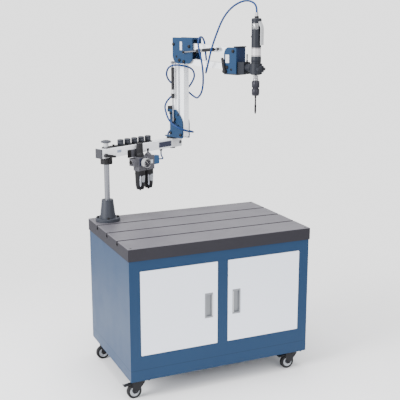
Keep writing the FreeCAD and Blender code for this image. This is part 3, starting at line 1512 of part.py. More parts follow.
def gas_spring(number, ends, out, cylinder_length):
    """Gas spring drawn upright from its lower eye; the cylinder carries the upper eye."""
    (low_s, low_h), (high_s, high_h) = ends
    run = high_s.value - low_s.value
    rise = high_h.value - low_h.value
    lean = Size(math.degrees(math.atan2(run, rise)),
                f"atan2({(high_s - low_s).text}, {(high_h - low_h).text}) / 1 deg")
    length = Size(math.hypot(run, rise),
                  f"sqrt(({(high_s - low_s).text}) ^ 2 + ({(high_h - low_h).text}) ^ 2)")
    eye = S.spring_eye_radius
    top = length - eye - S.spring_neck
    bottom = top - cylinder_length
    tube_part = turned(f"spring_tube_{number}", [
        (S.spring_radius, bottom), (S.spring_radius, bottom + S.spring_collar),
        (S.spring_radius - S.spring_step, bottom + S.spring_collar),
        (S.spring_radius - S.spring_step, top - S.spring_step),
        (S.spring_radius - 2 * S.spring_step, top), (0, top),
        (0, top - S.spring_end_wall), (S.spring_bore, top - S.spring_end_wall),
        (S.spring_bore, bottom + S.spring_seal),
        (S.spring_rod_radius + S.spring_play, bottom + S.spring_seal),
        (S.spring_rod_radius + S.spring_play, bottom),
    ])
    neck = rod(f"spring_neck_{number}", (0, 0, top - S.spring_end_wall), "z", S.spring_rod_radius,
               length - top + S.spring_end_wall)
    ring = rod(f"spring_eye_{number}", (0, -S.spring_eye_width / 2, length), "y", eye, S.spring_eye_width)
    hole = rod(f"spring_eye_hole_{number}", (0, -S.spring_eye_width, length), "y",
               S.spring_stud_radius + S.running_clearance, 2 * S.spring_eye_width)
    whole = fuse(f"spring_{number}_cylinder_body", [tube_part, neck, ring])
    cylinder = cut(f"spring_{number}_cylinder_solid", whole, [hole])
    piston_top = bottom + cylinder_length * S.spring_rod_share
    shaft = rod(f"spring_shaft_{number}", (0, 0, 0), "z", S.spring_rod_radius, piston_top)
    foot = rod(f"spring_foot_{number}", (0, -S.spring_eye_width / 2, 0), "y", eye, S.spring_eye_width)
    foot_hole = rod(f"spring_foot_hole_{number}", (0, -S.spring_eye_width, 0), "y",
                    S.spring_stud_radius + S.running_clearance, 2 * S.spring_eye_width)
    rod_body = fuse(f"spring_{number}_rod_body", [shaft, foot])
    rod_part = cut(f"spring_{number}_rod_solid", rod_body, [foot_hole])
    for label, item in ((f"spring_{number}_cylinder", cylinder), (f"spring_{number}_rod", rod_part)):
        item.Placement = Placement(Vector(), Rotation(Vector(0, 1, 0), lean.value))
        item.setExpression("Placement.Rotation.Angle", f"({lean.text}) * 1 deg")
        keep(label, put(item, (low_s, -out, low_h)), arm_frame)


def build_arm():
    """Two parallelogram stages between the lower bracket, the elbow and the head."""
    front, rear = lower_pivots()
    front_top, rear_top, under, over = elbow_pivots()
    head_under, head_over = head_pivots()
    upright = Size(0.0, "0")
    level_turn = Size(90.0, "90") + S.upper_arm_angle
    keep("front_bar", bar("front_bar", front, upright, S.lower_arm_length), arm_frame)
    keep("rear_bar", bar("rear_bar", rear, upright, S.lower_arm_length,
                         (S.lower_stud_up, -S.lower_stud_back, S.lower_spring_out)), arm_frame)
    keep("bottom_bar", bar("bottom_bar", under, level_turn, S.upper_arm_length), arm_frame)
    keep("top_bar", bar("top_bar", over, level_turn, S.upper_arm_length,
                        (S.upper_stud_along, -S.upper_stud_across, S.upper_spring_out)), arm_frame)
    gas_spring(1, lower_spring_ends(), S.lower_spring_out, S.lower_cylinder_length)
    gas_spring(2, upper_spring_ends(), S.upper_spring_out, S.upper_cylinder_length)
    build_elbow(front_top, rear_top, under, over)
    build_head(head_under, head_over)


def build_elbow(front_top, rear_top, under, over):
    half = S.bracket_half_width
    low = front_top[1] - S.elbow_below_pivot
    high = front_top[1] + S.elbow_above_pivot
    outline = rectangle(S.elbow_left, low, S.elbow_right - S.elbow_left, high - low)
    rounds = [(outline[0:2], S.elbow_round), (outline[2:4], S.elbow_top_round)]
    plates = side_plates("elbow_plates", outline, rounds, half)
    inner = half - S.plate
    roof_left = under[0] + S.elbow_roof_start
    roof = block("elbow_roof", (roof_left, -inner, high - S.elbow_roof),
                 (S.elbow_right - roof_left - S.elbow_top_round, 2 * inner, S.elbow_roof))
    stop = block("elbow_stop", (under[0], -inner, under[1] + S.elbow_stop_rise),
                 (S.elbow_stop_size, 2 * inner, S.elbow_stop_size))
    pins = []
    for name, pivot in (("front", front_top), ("rear", rear_top), ("under", under), ("over", over)):
        pins += cross_pin(f"elbow_{name}_pin", *pivot, half, inner)
    anchor = upper_spring_ends()[0]
    end = S.upper_spring_out + S.spring_eye_width / 2 + S.stud_cap
    stud = rod("upper_spring_stud", (anchor[0], -end, anchor[1]), "y", S.spring_stud_radius, end - half)
    cap = rod("upper_spring_stud_cap", (anchor[0], -end, anchor[1]), "y", S.stud_cap_radius, S.stud_cap)
    whole_stud = fuse("upper_spring_stud_whole", [stud, cap])
    keep("elbow_bracket", group("elbow_group", [plates, roof, stop, whole_stud] + pins), arm_frame)


def build_head(under, over):
    """Head plates, tilt housing with its lever, and the clamping lever on the near side."""
    half = S.bracket_half_width
    left = under[0] - S.head_before_pivot
    low = under[1] - S.head_below_pivot
    outline = rectangle(left, low, S.head_length, S.head_height)
    plates = side_plates("head_plates", outline,
                         [([outline[3]], S.head_round), ([outline[2]], S.head_front_round)], half)
    right = left + S.head_length
    floor = block("head_floor", (left, -half, low - S.plate),
                  (S.head_length + S.head_floor_nose, 2 * half, S.plate))
    roof = block("head_roof", (right - S.head_roof_back, -half, low + S.head_height),
                 (S.head_roof_length, 2 * half, S.plate))
    gap = half - S.plate
    end = block("head_end", (right - S.head_end_plate, -gap, low + S.tilt_block_height),
                (S.head_end_plate, 2 * gap, S.head_height - S.tilt_block_height))
    pins = cross_pin("head_under_pin", *under, half) + cross_pin("head_over_pin", *over, half)
    hub_z = under[1] - S.head_lever_drop
    hub_s = under[0] - S.head_lever_back
    keep("head_bracket", fuse("head_all", [plates, floor, roof, end] + pins), arm_frame)
    keep("head_lever", upright_lever("head_lever_solid", hub_s, hub_z, -half), arm_frame)
    tilt_z = level(S.tilt_rise)
    housing = block("housing_block", (right, -S.tilt_block_half, low),
                    (S.tilt_block_length, 2 * S.tilt_block_half, S.tilt_block_height))
    shaft_bore = rod("housing_bore", (right + S.plate, 0, tilt_z), "x",
                     S.tilt_shaft_radius + S.running_clearance, S.tilt_block_length)
    slit = block("housing_slit", (right + S.tilt_block_length / 2, -S.collar_slit / 2, tilt_z),
                 (S.tilt_block_length, S.collar_slit, S.tilt_block_height))
    keep("tilt_housing", cut("housing_cut", housing, [shaft_bore, slit]), arm_frame)
    clamp(right, tilt_z)
    lever_s = right + S.tilt_block_length * 0.85
    lever_w = S.tilt_block_half * 0.25
    stem_z = low + S.tilt_block_height
    small = turned("tilt_lever_hub", [
        (0, 0), (S.tilt_lever_radius, 0), (S.tilt_lever_radius, S.tilt_lever_height * 0.3),
        (0, S.tilt_lever_height * 0.3),
    ], (lever_s, lever_w, stem_z))
    handle = cone("tilt_lever_handle", (lever_s, lever_w, stem_z + S.tilt_lever_height * 0.2), "z",
                  S.tilt_lever_radius * 0.6, S.tilt_lever_radius * 0.8, S.tilt_lever_height)
    keep("tilt_lever", fuse("tilt_lever_solid", [small, handle]), arm_frame)


def upright_lever(name, s, z, face):
    """Clamping lever whose arm stands up and slightly back from its hub."""
    hub = turned(name + "_hub", [
        (0, 0), (S.lever_hub_radius, 0), (S.lever_hub_radius, S.lever_hub_depth),
        (S.lever_hub_radius * 0.8, S.lever_hub_depth + S.lever_hub_dome),
        (0, S.lever_hub_depth + S.lever_hub_dome),
    ], (s, face, z), "-y")
    arm = Piece(name + "_arm")
    side = S.lever_hub_radius * 0.75
    tip = S.lever_radius
    top = z + S.head_lever_length
    back = s - S.head_lever_lean
    outline = [(s - side, z), (s + side, z), (back + tip, top - tip), (back + tip * 0.5, top),
               (back - tip * 0.5, top), (back - tip, top - tip)]
    arm.pad(arm.sketch("XZ_Plane", [outline], face - S.lever_hub_depth),
            S.lever_hub_depth - S.lever_stud_gap)
    arm.round_corners("XZ_Plane", outline[2:6], S.lever_tip_round)
    return fuse(name, [hub, arm.body])


def clamp(housing_left, tilt_z):
    """Split clamp ring on its tilt shaft, with the clamping knob in front."""
    ring_low = level(S.clamp_ring_low)
    ring = turned("clamp_ring", [
        (S.motor_radius, 0), (S.clamp_ring_radius, 0), (S.clamp_ring_radius, S.clamp_ring_height),
        (S.motor_radius, S.clamp_ring_height),
    ], (S.tool_reach, 0, ring_low))
    start = housing_left + S.plate + S.running_clearance
    shaft = rod("clamp_shaft", (start, 0, tilt_z), "x", S.tilt_shaft_radius,
                S.tool_reach - S.motor_radius - S.clamp_shaft_short - start)
    collar_s = housing_left + S.tilt_block_length + S.running_clearance
    collar = rod("clamp_collar", (collar_s, 0, tilt_z), "x", S.clamp_collar_radius,
                 S.tool_reach - S.motor_radius - S.clamp_shaft_short - collar_s)
    ears = block("clamp_ears", (S.tool_reach + S.motor_radius, -S.ear_half_width, ring_low + S.ear_inset),
                 (S.ear_length, 2 * S.ear_half_width, S.clamp_ring_height - 2 * S.ear_inset))
    slit = block("clamp_slit", (S.tool_reach + S.motor_radius * 0.9, -S.collar_slit / 2, ring_low - OVERRUN),
                 (S.clamp_ring_radius + S.ear_length, S.collar_slit, S.clamp_ring_height + 2 * OVERRUN))
    body = cut("clamp_body", fuse("clamp_solid", [ring, shaft, collar, ears]), [slit])
    bolt_s = S.tool_reach + S.motor_radius + S.ear_length * 0.7
    knob_base = (bolt_s, -S.ear_half_width - S.clamp_knob_length, ring_low + S.clamp_ring_height / 2)
    screw = rod("clamp_screw", knob_base, "y", S.screw_radius,
                2 * S.ear_half_width + S.clamp_knob_length + S.pin_head_height)
    knob = rod("clamp_knob", knob_base, "y", S.clamp_knob_radius, S.clamp_knob_length)
    keep("tool_clamp", fuse("clamp_all", [body, screw, knob]), arm_frame)


def build_tool():
    """Air motor with its sleeve, lever and button; coupling, chuck and tap on the spindle."""
    axis = S.tool_reach
    bottom = level(S.clamp_ring_low - S.gearbox_below)
    gear_top = S.gearbox_top - S.clamp_ring_low + S.gearbox_below
    sleeve_top = gear_top + S.sleeve_top - S.gearbox_top
    motor_top = sleeve_top + S.motor_top - S.sleeve_top
    radius = S.motor_radius
    edge = S.motor_edge
    ring_top = gear_top - S.gearbox_top + S.clamp_ring_low + S.clamp_ring_height
    outline = [
        (S.spindle_radius + S.running_clearance, 0), (radius - edge, 0), (radius, edge),
        (radius, ring_top + edge), (radius - S.knurl_depth, ring_top + edge),
        (radius - S.knurl_depth, ring_top + edge + S.knurl_depth),
        (radius, ring_top + edge + S.knurl_depth), (radius, gear_top - edge), (radius - edge, gear_top),
        (S.motor_core_radius, gear_top), (S.motor_core_radius, sleeve_top), (radius - edge, sleeve_top),
        (radius, sleeve_top + edge), (radius, motor_top - S.motor_shoulder),
        (radius - S.motor_shoulder, motor_top), (S.hose_nut_radius, motor_top),
        (S.hose_nut_radius, motor_top + S.hose_nut_height),
        (S.hose_stub_radius, motor_top + S.hose_nut_height),
        (S.hose_stub_radius, motor_top + S.hose_nut_height + S.hose_stub_height),
        (0, motor_top + S.hose_nut_height + S.hose_stub_height),
        (0, S.spindle_depth), (S.spindle_radius + S.running_clearance, S.spindle_depth),
    ]
    core = turned("motor_core", outline, (axis, 0, bottom))
    pivot_z = level(S.throttle_pivot_rise)
    pivot_s = axis + radius - S.throttle_pivot_inset
    recess_low = (pivot_s - S.throttle_recess_depth, -S.throttle_recess_half,
                  pivot_z - S.throttle_recess_below)
    recess = block("throttle_recess", recess_low,
                   (S.motor_radius, 2 * S.throttle_recess_half,
                    S.throttle_recess_below + S.throttle_recess_above))
    button_z = level(S.reverse_button_rise)
    button_bore = rod("button_bore", (axis - radius - OVERRUN, 0, button_z), "x",
                      S.reverse_button_radius + S.running_clearance, S.reverse_button_depth + OVERRUN)
    pin = rod("throttle_pin", (pivot_s, -S.throttle_recess_half - OVERRUN, pivot_z), "y",
              S.throttle_pin_radius, 2 * (S.throttle_recess_half + OVERRUN))
    motor = cut("motor_cut", core, [recess, button_bore])
    keep("motor_body", fuse("motor_all", [motor, pin]), arm_frame)
    sleeve_length = S.sleeve_top - S.gearbox_top
    sleeve = turned("motor_sleeve_solid", [
        (S.motor_core_radius, 0), (S.motor_sleeve_radius, 0),
        (S.motor_sleeve_radius, sleeve_length), (S.motor_core_radius, sleeve_length),
    ], (axis, 0, bottom + gear_top))
    keep("motor_sleeve", sleeve, arm_frame)
    lever_body = Piece("throttle_profile")
    grip = S.throttle_thickness
    out = axis + S.throttle_stand
    low = level(S.throttle_bottom)
    corners = [
        (pivot_s - grip * 0.6, pivot_z + grip * 0.6), (pivot_s + grip * 0.8, pivot_z + grip * 0.8),
        (out + grip * 0.4, pivot_z - S.throttle_bend), (out + grip, pivot_z - S.throttle_bend * 1.8),
        (out + grip, low), (out, low), (out, pivot_z - S.throttle_bend * 1.7),
        (out - grip * 0.8, pivot_z - S.throttle_bend * 1.1), (pivot_s - grip * 0.6, pivot_z - grip * 0.8),
    ]
    lever_body.pad(lever_body.sketch("XZ_Plane", [corners]), S.throttle_width, both=True)
    pivot_bore = Ring(pivot_s, pivot_z, S.throttle_pin_radius + S.running_clearance)
    lever_body.pocket(lever_body.sketch("XZ_Plane", [pivot_bore]))
    keep("throttle_lever", lever_body.body, arm_frame)
    button = rod("button_rod", (axis - radius - S.reverse_button_proud, 0, button_z), "x",
                 S.reverse_button_radius,
                 S.reverse_button_proud + S.reverse_button_depth - S.reverse_button_travel)
    keep("reverse_button", button, arm_frame)
    chuck_low = level(S.chuck_bottom)
    height = S.chuck_top - S.chuck_bottom
    spindle_top = S.clamp_ring_low - S.gearbox_below + S.spindle_depth - S.chuck_bottom - S.spindle_end
    chuck = turned("chuck_solid", [
        (0, S.tap_socket), (S.tap_radius, S.tap_socket), (S.tap_radius, 0), (S.chuck_radius * 0.85, 0),
        (S.chuck_radius, S.chuck_radius * 0.17), (S.chuck_radius, height * 0.46),
        (S.chuck_radius - S.chuck_groove, height * 0.48), (S.chuck_radius - S.chuck_groove, height * 0.53),
        (S.chuck_radius, height * 0.55), (S.chuck_radius, height - S.chuck_groove),
        (S.chuck_radius - S.chuck_groove, height), (S.spindle_radius, height),
        (S.spindle_radius, spindle_top), (0, spindle_top),
    ], (axis, 0, chuck_low))
    length = S.chuck_bottom - S.tap_tip
    screw = turned("tap_solid", [
        (0, 0), (S.tap_radius * 0.5, 0), (S.tap_radius, S.tap_radius * 2),
        (S.tap_radius, length * 0.5), (S.tap_radius * 0.8, length * 0.52),
        (S.tap_radius * 0.8, length * 0.86), (S.tap_radius, length * 0.88),
        (S.tap_radius, length + S.tap_socket), (0, length + S.tap_socket),
    ], (axis, 0, level(S.tap_tip)))
    flutes = []
    for number, (i, j) in enumerate(((1, 0), (0, 1), (-1, 0), (0, -1))):
        flute_low = (axis + S.tap_radius * i, S.tap_radius * j, level(S.tap_tip) - OVERRUN)
        flutes.append(rod(f"tap_flute_{number}", flute_low, "z", S.tap_radius * 0.4,
                          length * 0.5 + OVERRUN))
    keep("tap_chuck", group("chuck_group", [chuck, cut("tap_fluted", screw, flutes)]), arm_frame)
    ring_height = S.clamp_ring_low - S.gearbox_below - S.chuck_top - S.coupling_travel
    bore = S.spindle_radius + S.running_clearance
    coupling = turned("coupling_solid", [
        (bore, 0), (S.coupling_radius, 0), (S.coupling_radius, ring_height * 0.4),
        (S.coupling_radius * 0.88, ring_height * 0.5), (S.coupling_radius * 0.88, ring_height * 0.7),
        (S.coupling_radius, ring_height * 0.8), (S.coupling_radius, ring_height), (bore, ring_height),
    ], (axis, 0, chuck_low + height))
    keep("quick_coupling", coupling, arm_frame)


def hose_route(name):
    """Points of one hose span in the arm's frame, heights above the beam's top."""
    return [(s, w, level(h)) for s, w, h in HOSE_POINTS[name]]


HOSE_POINTS = {
    "hose_beam_span": [
        (-35.358, 29.374, -25), (-62.278, 27.303, -25), (-86, 36, 0), (-80, 48, 30), (-40, 60, 46),
        (15, 63, 47), (60, 60, 44), (89, 57, 42.75),
    ],
    "hose_lower_span": [
        (89, 57, 42.75), (118, 54, 41.5), (141, 32, 44), (143, -4, 52), (132, -34, 63), (106, -53, 74),
        (72, -61, 90), (45, -61, 109), (22, -57, 131), (2, -50, 156), (-20, -38, 180), (-33, -15, 202),
        (-33, 8, 223), (-19, 24, 241), (8, 30, 254), (42, 31, 264), (80, 30, 276), (112, 30, 297),
        (138, 30, 325), (152, 34, 354), (152, 28, 384), (146, 10, 402), (139, -14, 411), (122, -38, 417),
        (98, -55, 419), (72, -61, 415), (44, -60, 404), (20, -54, 384), (4, -44, 358), (0, -28, 333),
        (2, -6, 312), (10, 18, 296), (30, 36, 285), (60, 44, 276), (92, 43, 264), (122, 39, 252),
        (152, 32, 243), (182, 20, 240), (209, 6, 243.5), (234.5, -6, 256.25),
    ],
    "hose_upper_span": [
        (234.5, -6, 256.25), (260, -18, 269), (284, -28, 302), (300, -38, 348), (307, -48, 401),
        (304, -56, 454), (294, -61, 498), (281, -59, 533), (268, -44, 561), (255, -19, 573), (245, 7, 569),
        (239, 26, 548), (237, 34, 519), (238, 36, 488), (243, 36, 458), (252, 32, 429), (265, 19, 404),
        (281.5, 0.5, 393.5),
    ],
    "hose_tool_span": [
        (281.5, 0.5, 393.5), (298, -18, 383), (317, -34, 389), (338, -48, 408), (358, -58, 437),
        (375, -64, 472), (388, -65, 509), (402, -61, 549), (417, -54, 592), (433, -47, 634), (451, -38, 673),
        (475, -28, 706), (505, -18, 732), (541, -9, 750), (579, -3, 757), (611, 0, 752), (637, 0, 738),
        (647, 0, 716), (647, 0, 698),
    ],
}


def build_hose():
    """Air hose in four spans from the beam round both arm stages to the tool."""
    for name in HOSE_POINTS:
        keep(name, tube(name + "_run", S.hose_radius, hose_route(name)), arm_frame)


build_table()
build_cabinet()
build_doors()
build_casters()
build_column()
build_beam()
build_air_unit()
build_arm_base()
build_arm()
build_tool()
build_hose()
doc.recompute()

for item in doc.Objects:
    if "Invalid" in item.State or "Error" in item.State:
        raise RuntimeError(f"{item.Name} does not recompute: {item.State}")
os.makedirs("parts", exist_ok=True)
for label, item in nodes.items():
    shape = item.Shape
    if shape.isNull() or not shape.isValid() or shape.Volume <= 0:
        raise RuntimeError(f"{label} has no valid shape")
    shape.exportStep(f"parts/{label}.step")
    box = shape.BoundBox
    print(f"{label}: {len(shape.Solids)} solids, {shape.Volume / 1000:.1f} cm3, "
          f"x {box.XMin:.0f} {box.XMax:.0f}, y {box.YMin:.0f} {box.YMax:.0f}, "
          f"z {box.ZMin:.0f} {box.ZMax:.0f}")
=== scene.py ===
"""Looks of the arm tapping machine: camera, air hose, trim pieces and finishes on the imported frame."""

import json
import logging
import math
from dataclasses import dataclass
from enum import Enum
from typing import ClassVar

import bmesh
import bpy
from mathutils import Matrix, Vector

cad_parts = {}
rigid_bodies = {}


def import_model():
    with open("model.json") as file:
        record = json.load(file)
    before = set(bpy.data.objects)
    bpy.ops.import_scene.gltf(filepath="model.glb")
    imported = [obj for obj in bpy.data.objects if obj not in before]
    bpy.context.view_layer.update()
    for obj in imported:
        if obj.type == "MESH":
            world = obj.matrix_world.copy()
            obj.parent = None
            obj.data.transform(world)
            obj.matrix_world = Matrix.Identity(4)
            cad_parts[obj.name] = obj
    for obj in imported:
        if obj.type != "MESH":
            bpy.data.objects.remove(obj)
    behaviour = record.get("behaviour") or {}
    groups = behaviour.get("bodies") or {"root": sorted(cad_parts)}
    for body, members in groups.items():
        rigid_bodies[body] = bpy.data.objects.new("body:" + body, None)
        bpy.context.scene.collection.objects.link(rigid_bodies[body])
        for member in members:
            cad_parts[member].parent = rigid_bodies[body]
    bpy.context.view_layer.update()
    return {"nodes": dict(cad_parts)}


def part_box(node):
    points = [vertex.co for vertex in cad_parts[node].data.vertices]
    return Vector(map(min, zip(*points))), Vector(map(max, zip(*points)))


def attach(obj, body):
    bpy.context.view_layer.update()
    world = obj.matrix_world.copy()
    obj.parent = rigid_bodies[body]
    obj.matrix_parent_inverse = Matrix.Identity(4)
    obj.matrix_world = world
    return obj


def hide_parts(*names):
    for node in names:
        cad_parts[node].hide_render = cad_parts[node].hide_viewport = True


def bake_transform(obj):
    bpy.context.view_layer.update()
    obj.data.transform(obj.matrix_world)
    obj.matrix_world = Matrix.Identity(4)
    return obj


LOG = logging.getLogger("tapping_machine")
Colour = tuple[float, float, float]
Point = tuple[float, float, float]
Profile = list[tuple[float, float]]
Shape = bmesh.types.BMesh
Ring = list[bmesh.types.BMVert]
Socket = bpy.types.NodeSocket
Values = dict[str | int, object]


@dataclass(frozen=True)
class Station:
    """A local frame on an upright axis: x out along the piece, y across it, z up.

    Args:
        origin: The axis foot in metres.
        turn: Degrees from the cart's +X to the local x.
    """

    origin: Point
    turn: float

    def matrix(self) -> Matrix:
        """Returns the local-to-model matrix."""
        return Matrix.Translation(self.origin) @ Matrix.Rotation(math.radians(self.turn), 4, "Z")

    def point(self, along: float, across: float, up: float) -> Vector:
        """Returns a local place as a place in the model."""
        return self.matrix() @ Vector((along, across, up))

    def at(self, along: float, across: float, up: float) -> Matrix:
        """Returns the matrix of a piece that stands upright at a local place."""
        return self.matrix() @ Matrix.Translation((along, across, up))

    def facing(self, along: float, across: float, up: float, normal: Point) -> Matrix:
        """Matrix of a piece at a local place whose own z points along a local direction.

        Args:
            along: Place along x.
            across: Place along y.
            up: Place along z.
            normal: The local direction.

        Returns:
            The piece's matrix.
        """
        turn = Vector((0.0, 0.0, 1.0)).rotation_difference(Vector(normal)).to_matrix().to_4x4()
        return self.at(along, across, up) @ turn


CART = Station((0.0, 0.0, 0.0), 0.0)
COLUMN = Station((-0.415, 0.247, 0.783), 23.3)
SWIVEL_REACH = 0.498
ARM = Station((COLUMN.origin[0] + SWIVEL_REACH * math.cos(math.radians(COLUMN.turn)),
               COLUMN.origin[1] + SWIVEL_REACH * math.sin(math.radians(COLUMN.turn)), 1.177), -71.1)
FRONTWARD = (0.0, -1.0, 0.0)
LEFTWARD = (-1.0, 0.0, 0.0)


class Effect(Enum):
    """Which surface texture a finish has."""

    ENAMEL = "enamel"
    CAST = "cast"
    GROUND = "ground"
    BRUSHED = "brushed"
    MOULDED = "moulded"
    RUBBER = "rubber"


class Graph:
    """Short ways to add and link the nodes of one shader tree."""

    MIX_SLOTS = {"RGBA": (6, 7, 2), "FLOAT": (2, 3, 0)}

    def __init__(self, tree: bpy.types.NodeTree) -> None:
        """Keeps the tree.

        Args:
            tree: Nodes of a material or a group.
        """
        self.tree = tree

    def feed(self, node: bpy.types.Node, values: Values) -> bpy.types.Node:
        """Links sockets to a node's inputs and sets constants on them.

        Args:
            node: The node.
            values: A socket or a constant for each input's name or place.

        Returns:
            The same node.
        """
        for key, value in values.items():
            if isinstance(value, Socket):
                self.tree.links.new(value, node.inputs[key])
            else:
                node.inputs[key].default_value = value
        return node

    def add(self, kind: str, values: Values) -> bpy.types.Node:
        """Adds a node, named by its type after "ShaderNode", feeds it and returns it."""
        return self.feed(self.tree.nodes.new(f"ShaderNode{kind}"), values)

    def group(self, shared: bpy.types.NodeTree, values: Values) -> bpy.types.NodeOutputs:
        """Adds a shared group and feeds it.

        Args:
            shared: The group's tree.
            values: A socket or a constant for each input's name.

        Returns:
            The group's outputs.
        """
        node = self.tree.nodes.new("ShaderNodeGroup")
        node.node_tree = shared
        return self.feed(node, values).outputs

    def place(self) -> Socket:
        """Returns the object coordinates, which are the model's own."""
        return self.tree.nodes.new("ShaderNodeTexCoord").outputs["Object"]

    def maths(self, operation: str, *values: object, clamp: bool = False) -> Socket:
        """Adds a Math node.

        Args:
            operation: What it works out.
            values: A socket or a number for each input in order.
            clamp: Whether the output is kept between 0 and 1.

        Returns:
            Its output.
        """
        node = self.tree.nodes.new("ShaderNodeMath")
        node.operation = operation
        node.use_clamp = clamp
        return self.feed(node, dict(enumerate(values))).outputs["Value"]

    def vector(self, operation: str, *values: object) -> Socket:
        """Adds a Vector Math node.

        Args:
            operation: What it works out.
            values: A socket or a vector for each input in order.

        Returns:
            Its output, a number for a length and a vector for the rest.
        """
        node = self.tree.nodes.new("ShaderNodeVectorMath")
        node.operation = operation
        result = "Value" if operation == "LENGTH" else "Vector"
        return self.feed(node, dict(enumerate(values))).outputs[result]

    def ranged(self, value: Socket, low: float, high: float) -> Socket:
        """Returns a value spread from a range to 0 and 1."""
        return self.add("MapRange", {"Value": value, "From Min": low, "From Max": high}).outputs["Result"]

    def mixed(self, kind: str, mask: Socket, first: object, second: object) -> Socket:
        """Mixes two values by a mask.

        Args:
            kind: Data type of the Mix node.
            mask: 0 for the first value and 1 for the second.
            first: A socket or a number.
            second: A socket or a number.

        Returns:
            The mixed output.
        """
        node = self.tree.nodes.new("ShaderNodeMix")
        node.data_type = kind
        start, end, result = self.MIX_SLOTS[kind]
        return self.feed(node, {"Factor": mask, start: first, end: second}).outputs[result]


class NodeKit:
    """Builds the shader node groups that the materials share, each once."""

    STRETCH = {Effect.BRUSHED: (1.0, 1.0, 22.0), Effect.GROUND: (0.35, 6.0, 1.0)}
    GRAIN_SHARE = 0.55
    ROUGHNESS_SPREAD = 0.16

    def __init__(self) -> None:
        """Starts with no groups built."""
        self.groups: dict[str, bpy.types.NodeTree] = {}

    def start(self, name: str, inputs: dict[str, str],
              outputs: dict[str, str]) -> tuple[Graph, bpy.types.NodeOutputs, bpy.types.Node]:
        """Makes an empty group with its sockets.

        Args:
            name: Name of the group.
            inputs: Kind of each input by name.
            outputs: Kind of each output by name.

        Returns:
            The group's graph, the sockets that come in, and the node that puts out.
        """
        tree = bpy.data.node_groups.new(name, "ShaderNodeTree")
        for side, sockets in (("INPUT", inputs), ("OUTPUT", outputs)):
            for label, kind in sockets.items():
                tree.interface.new_socket(name=label, in_out=side, socket_type=f"NodeSocket{kind}")
        self.groups[name] = tree
        return Graph(tree), tree.nodes.new("NodeGroupInput").outputs, tree.nodes.new("NodeGroupOutput")

    def texture(self, effect: Effect) -> bpy.types.NodeTree:
        """Group that varies a colour and roughness and puts relief on the surface.

        Args:
            effect: The kind of surface.

        Returns:
            A group with Color, Roughness and Height outputs.
        """
        name = f"{effect.value}_texture"
        if name in self.groups:
            return self.groups[name]
        graph, given, result = self.start(
            name, {"Base": "Color", "Worn": "Color", "Wear": "Float", "Roughness": "Float", "Scale": "Float"},
            {"Color": "Color", "Roughness": "Float", "Height": "Float"})
        place = graph.place()
        stretch = self.STRETCH.get(effect, (1.0, 1.0, 1.0))
        stretched = graph.add("Mapping", {"Vector": place, "Scale": stretch})
        fine = graph.add("TexNoise", {"Vector": stretched.outputs["Vector"], "Scale": given["Scale"],
                                      "Detail": 6.0, "Roughness": 0.62}).outputs["Fac"]
        broad = graph.add("TexNoise", {"Vector": place, "Scale": 5.0, "Detail": 4.0}).outputs["Fac"]
        blotches = graph.maths("MULTIPLY", graph.ranged(broad, 0.42, 0.72), 1.0 - self.GRAIN_SHARE)
        mottle = graph.maths("MULTIPLY_ADD", graph.ranged(fine, 0.35, 0.75), self.GRAIN_SHARE, blotches)
        share = graph.maths("MULTIPLY", mottle, given["Wear"], clamp=True)
        rough = graph.maths("MULTIPLY_ADD", mottle, self.ROUGHNESS_SPREAD, given["Roughness"], clamp=True)
        colour = graph.mixed("RGBA", share, given["Base"], given["Worn"])
        graph.feed(result, {"Color": colour, "Roughness": rough, "Height": fine})
        return graph.tree

    def box_zone(self) -> bpy.types.NodeTree:
        """Group that masks a box in a turned local frame.

        Returns:
            A group with a Mask output, 1 inside the box and 0 outside.
        """
        if "box_zone" in self.groups:
            return self.groups["box_zone"]
        graph, given, result = self.start(
            "box_zone", {"Origin": "Vector", "Turn": "Float", "Middle": "Vector", "Half Size": "Vector"},
            {"Mask": "Float"})
        turn = graph.tree.nodes.new("ShaderNodeVectorRotate")
        turn.rotation_type = "Z_AXIS"
        graph.feed(turn, {"Vector": graph.vector("SUBTRACT", graph.place(), given["Origin"]),
                          "Angle": given["Turn"]})
        away = graph.vector("SUBTRACT", turn.outputs["Vector"], given["Middle"])
        room = graph.vector("SUBTRACT", given["Half Size"], graph.vector("ABSOLUTE", away))
        split = graph.add("SeparateXYZ", {"Vector": room}).outputs
        least = graph.maths("MINIMUM", graph.maths("MINIMUM", split["X"], split["Y"]), split["Z"])
        graph.feed(result, {"Mask": graph.maths("GREATER_THAN", least, 0.0)})
        return graph.tree

    def drum_zone(self) -> bpy.types.NodeTree:
        """Group that masks a drum about an axle along Y.

        Returns:
            A group with a Mask output, 1 within the radius and 0 outside.
        """
        if "drum_zone" in self.groups:
            return self.groups["drum_zone"]
        graph, given, result = self.start("drum_zone", {"Axle": "Vector", "Radius": "Float"},
                                          {"Mask": "Float"})
        away = graph.vector("SUBTRACT", graph.place(), given["Axle"])
        reach = graph.vector("LENGTH", graph.vector("MULTIPLY", away, (1.0, 0.0, 1.0)))
        graph.feed(result, {"Mask": graph.maths("LESS_THAN", reach, given["Radius"])})
        return graph.tree


KIT = NodeKit()
MATERIALS: dict[str, bpy.types.Material] = {}


@dataclass(frozen=True)
class BoxZone:
    """A part of a node that has another finish, as a box in a local frame.

    Args:
        station: The local frame.
        low: Lowest corner of the box in metres.
        high: Highest corner of the box in metres.
        finish: The finish inside the box.
    """

    station: Station
    low: Point
    high: Point
    finish: "Finish"

    def mask(self, graph: Graph) -> Socket:
        """Adds the zone's mask to a material and returns its output."""
        return graph.group(KIT.box_zone(), {
            "Origin": self.station.origin, "Turn": math.radians(-self.station.turn),
            "Middle": [(a + b) / 2 for a, b in zip(self.low, self.high)],
            "Half Size": [(b - a) / 2 for a, b in zip(self.low, self.high)]})["Mask"]


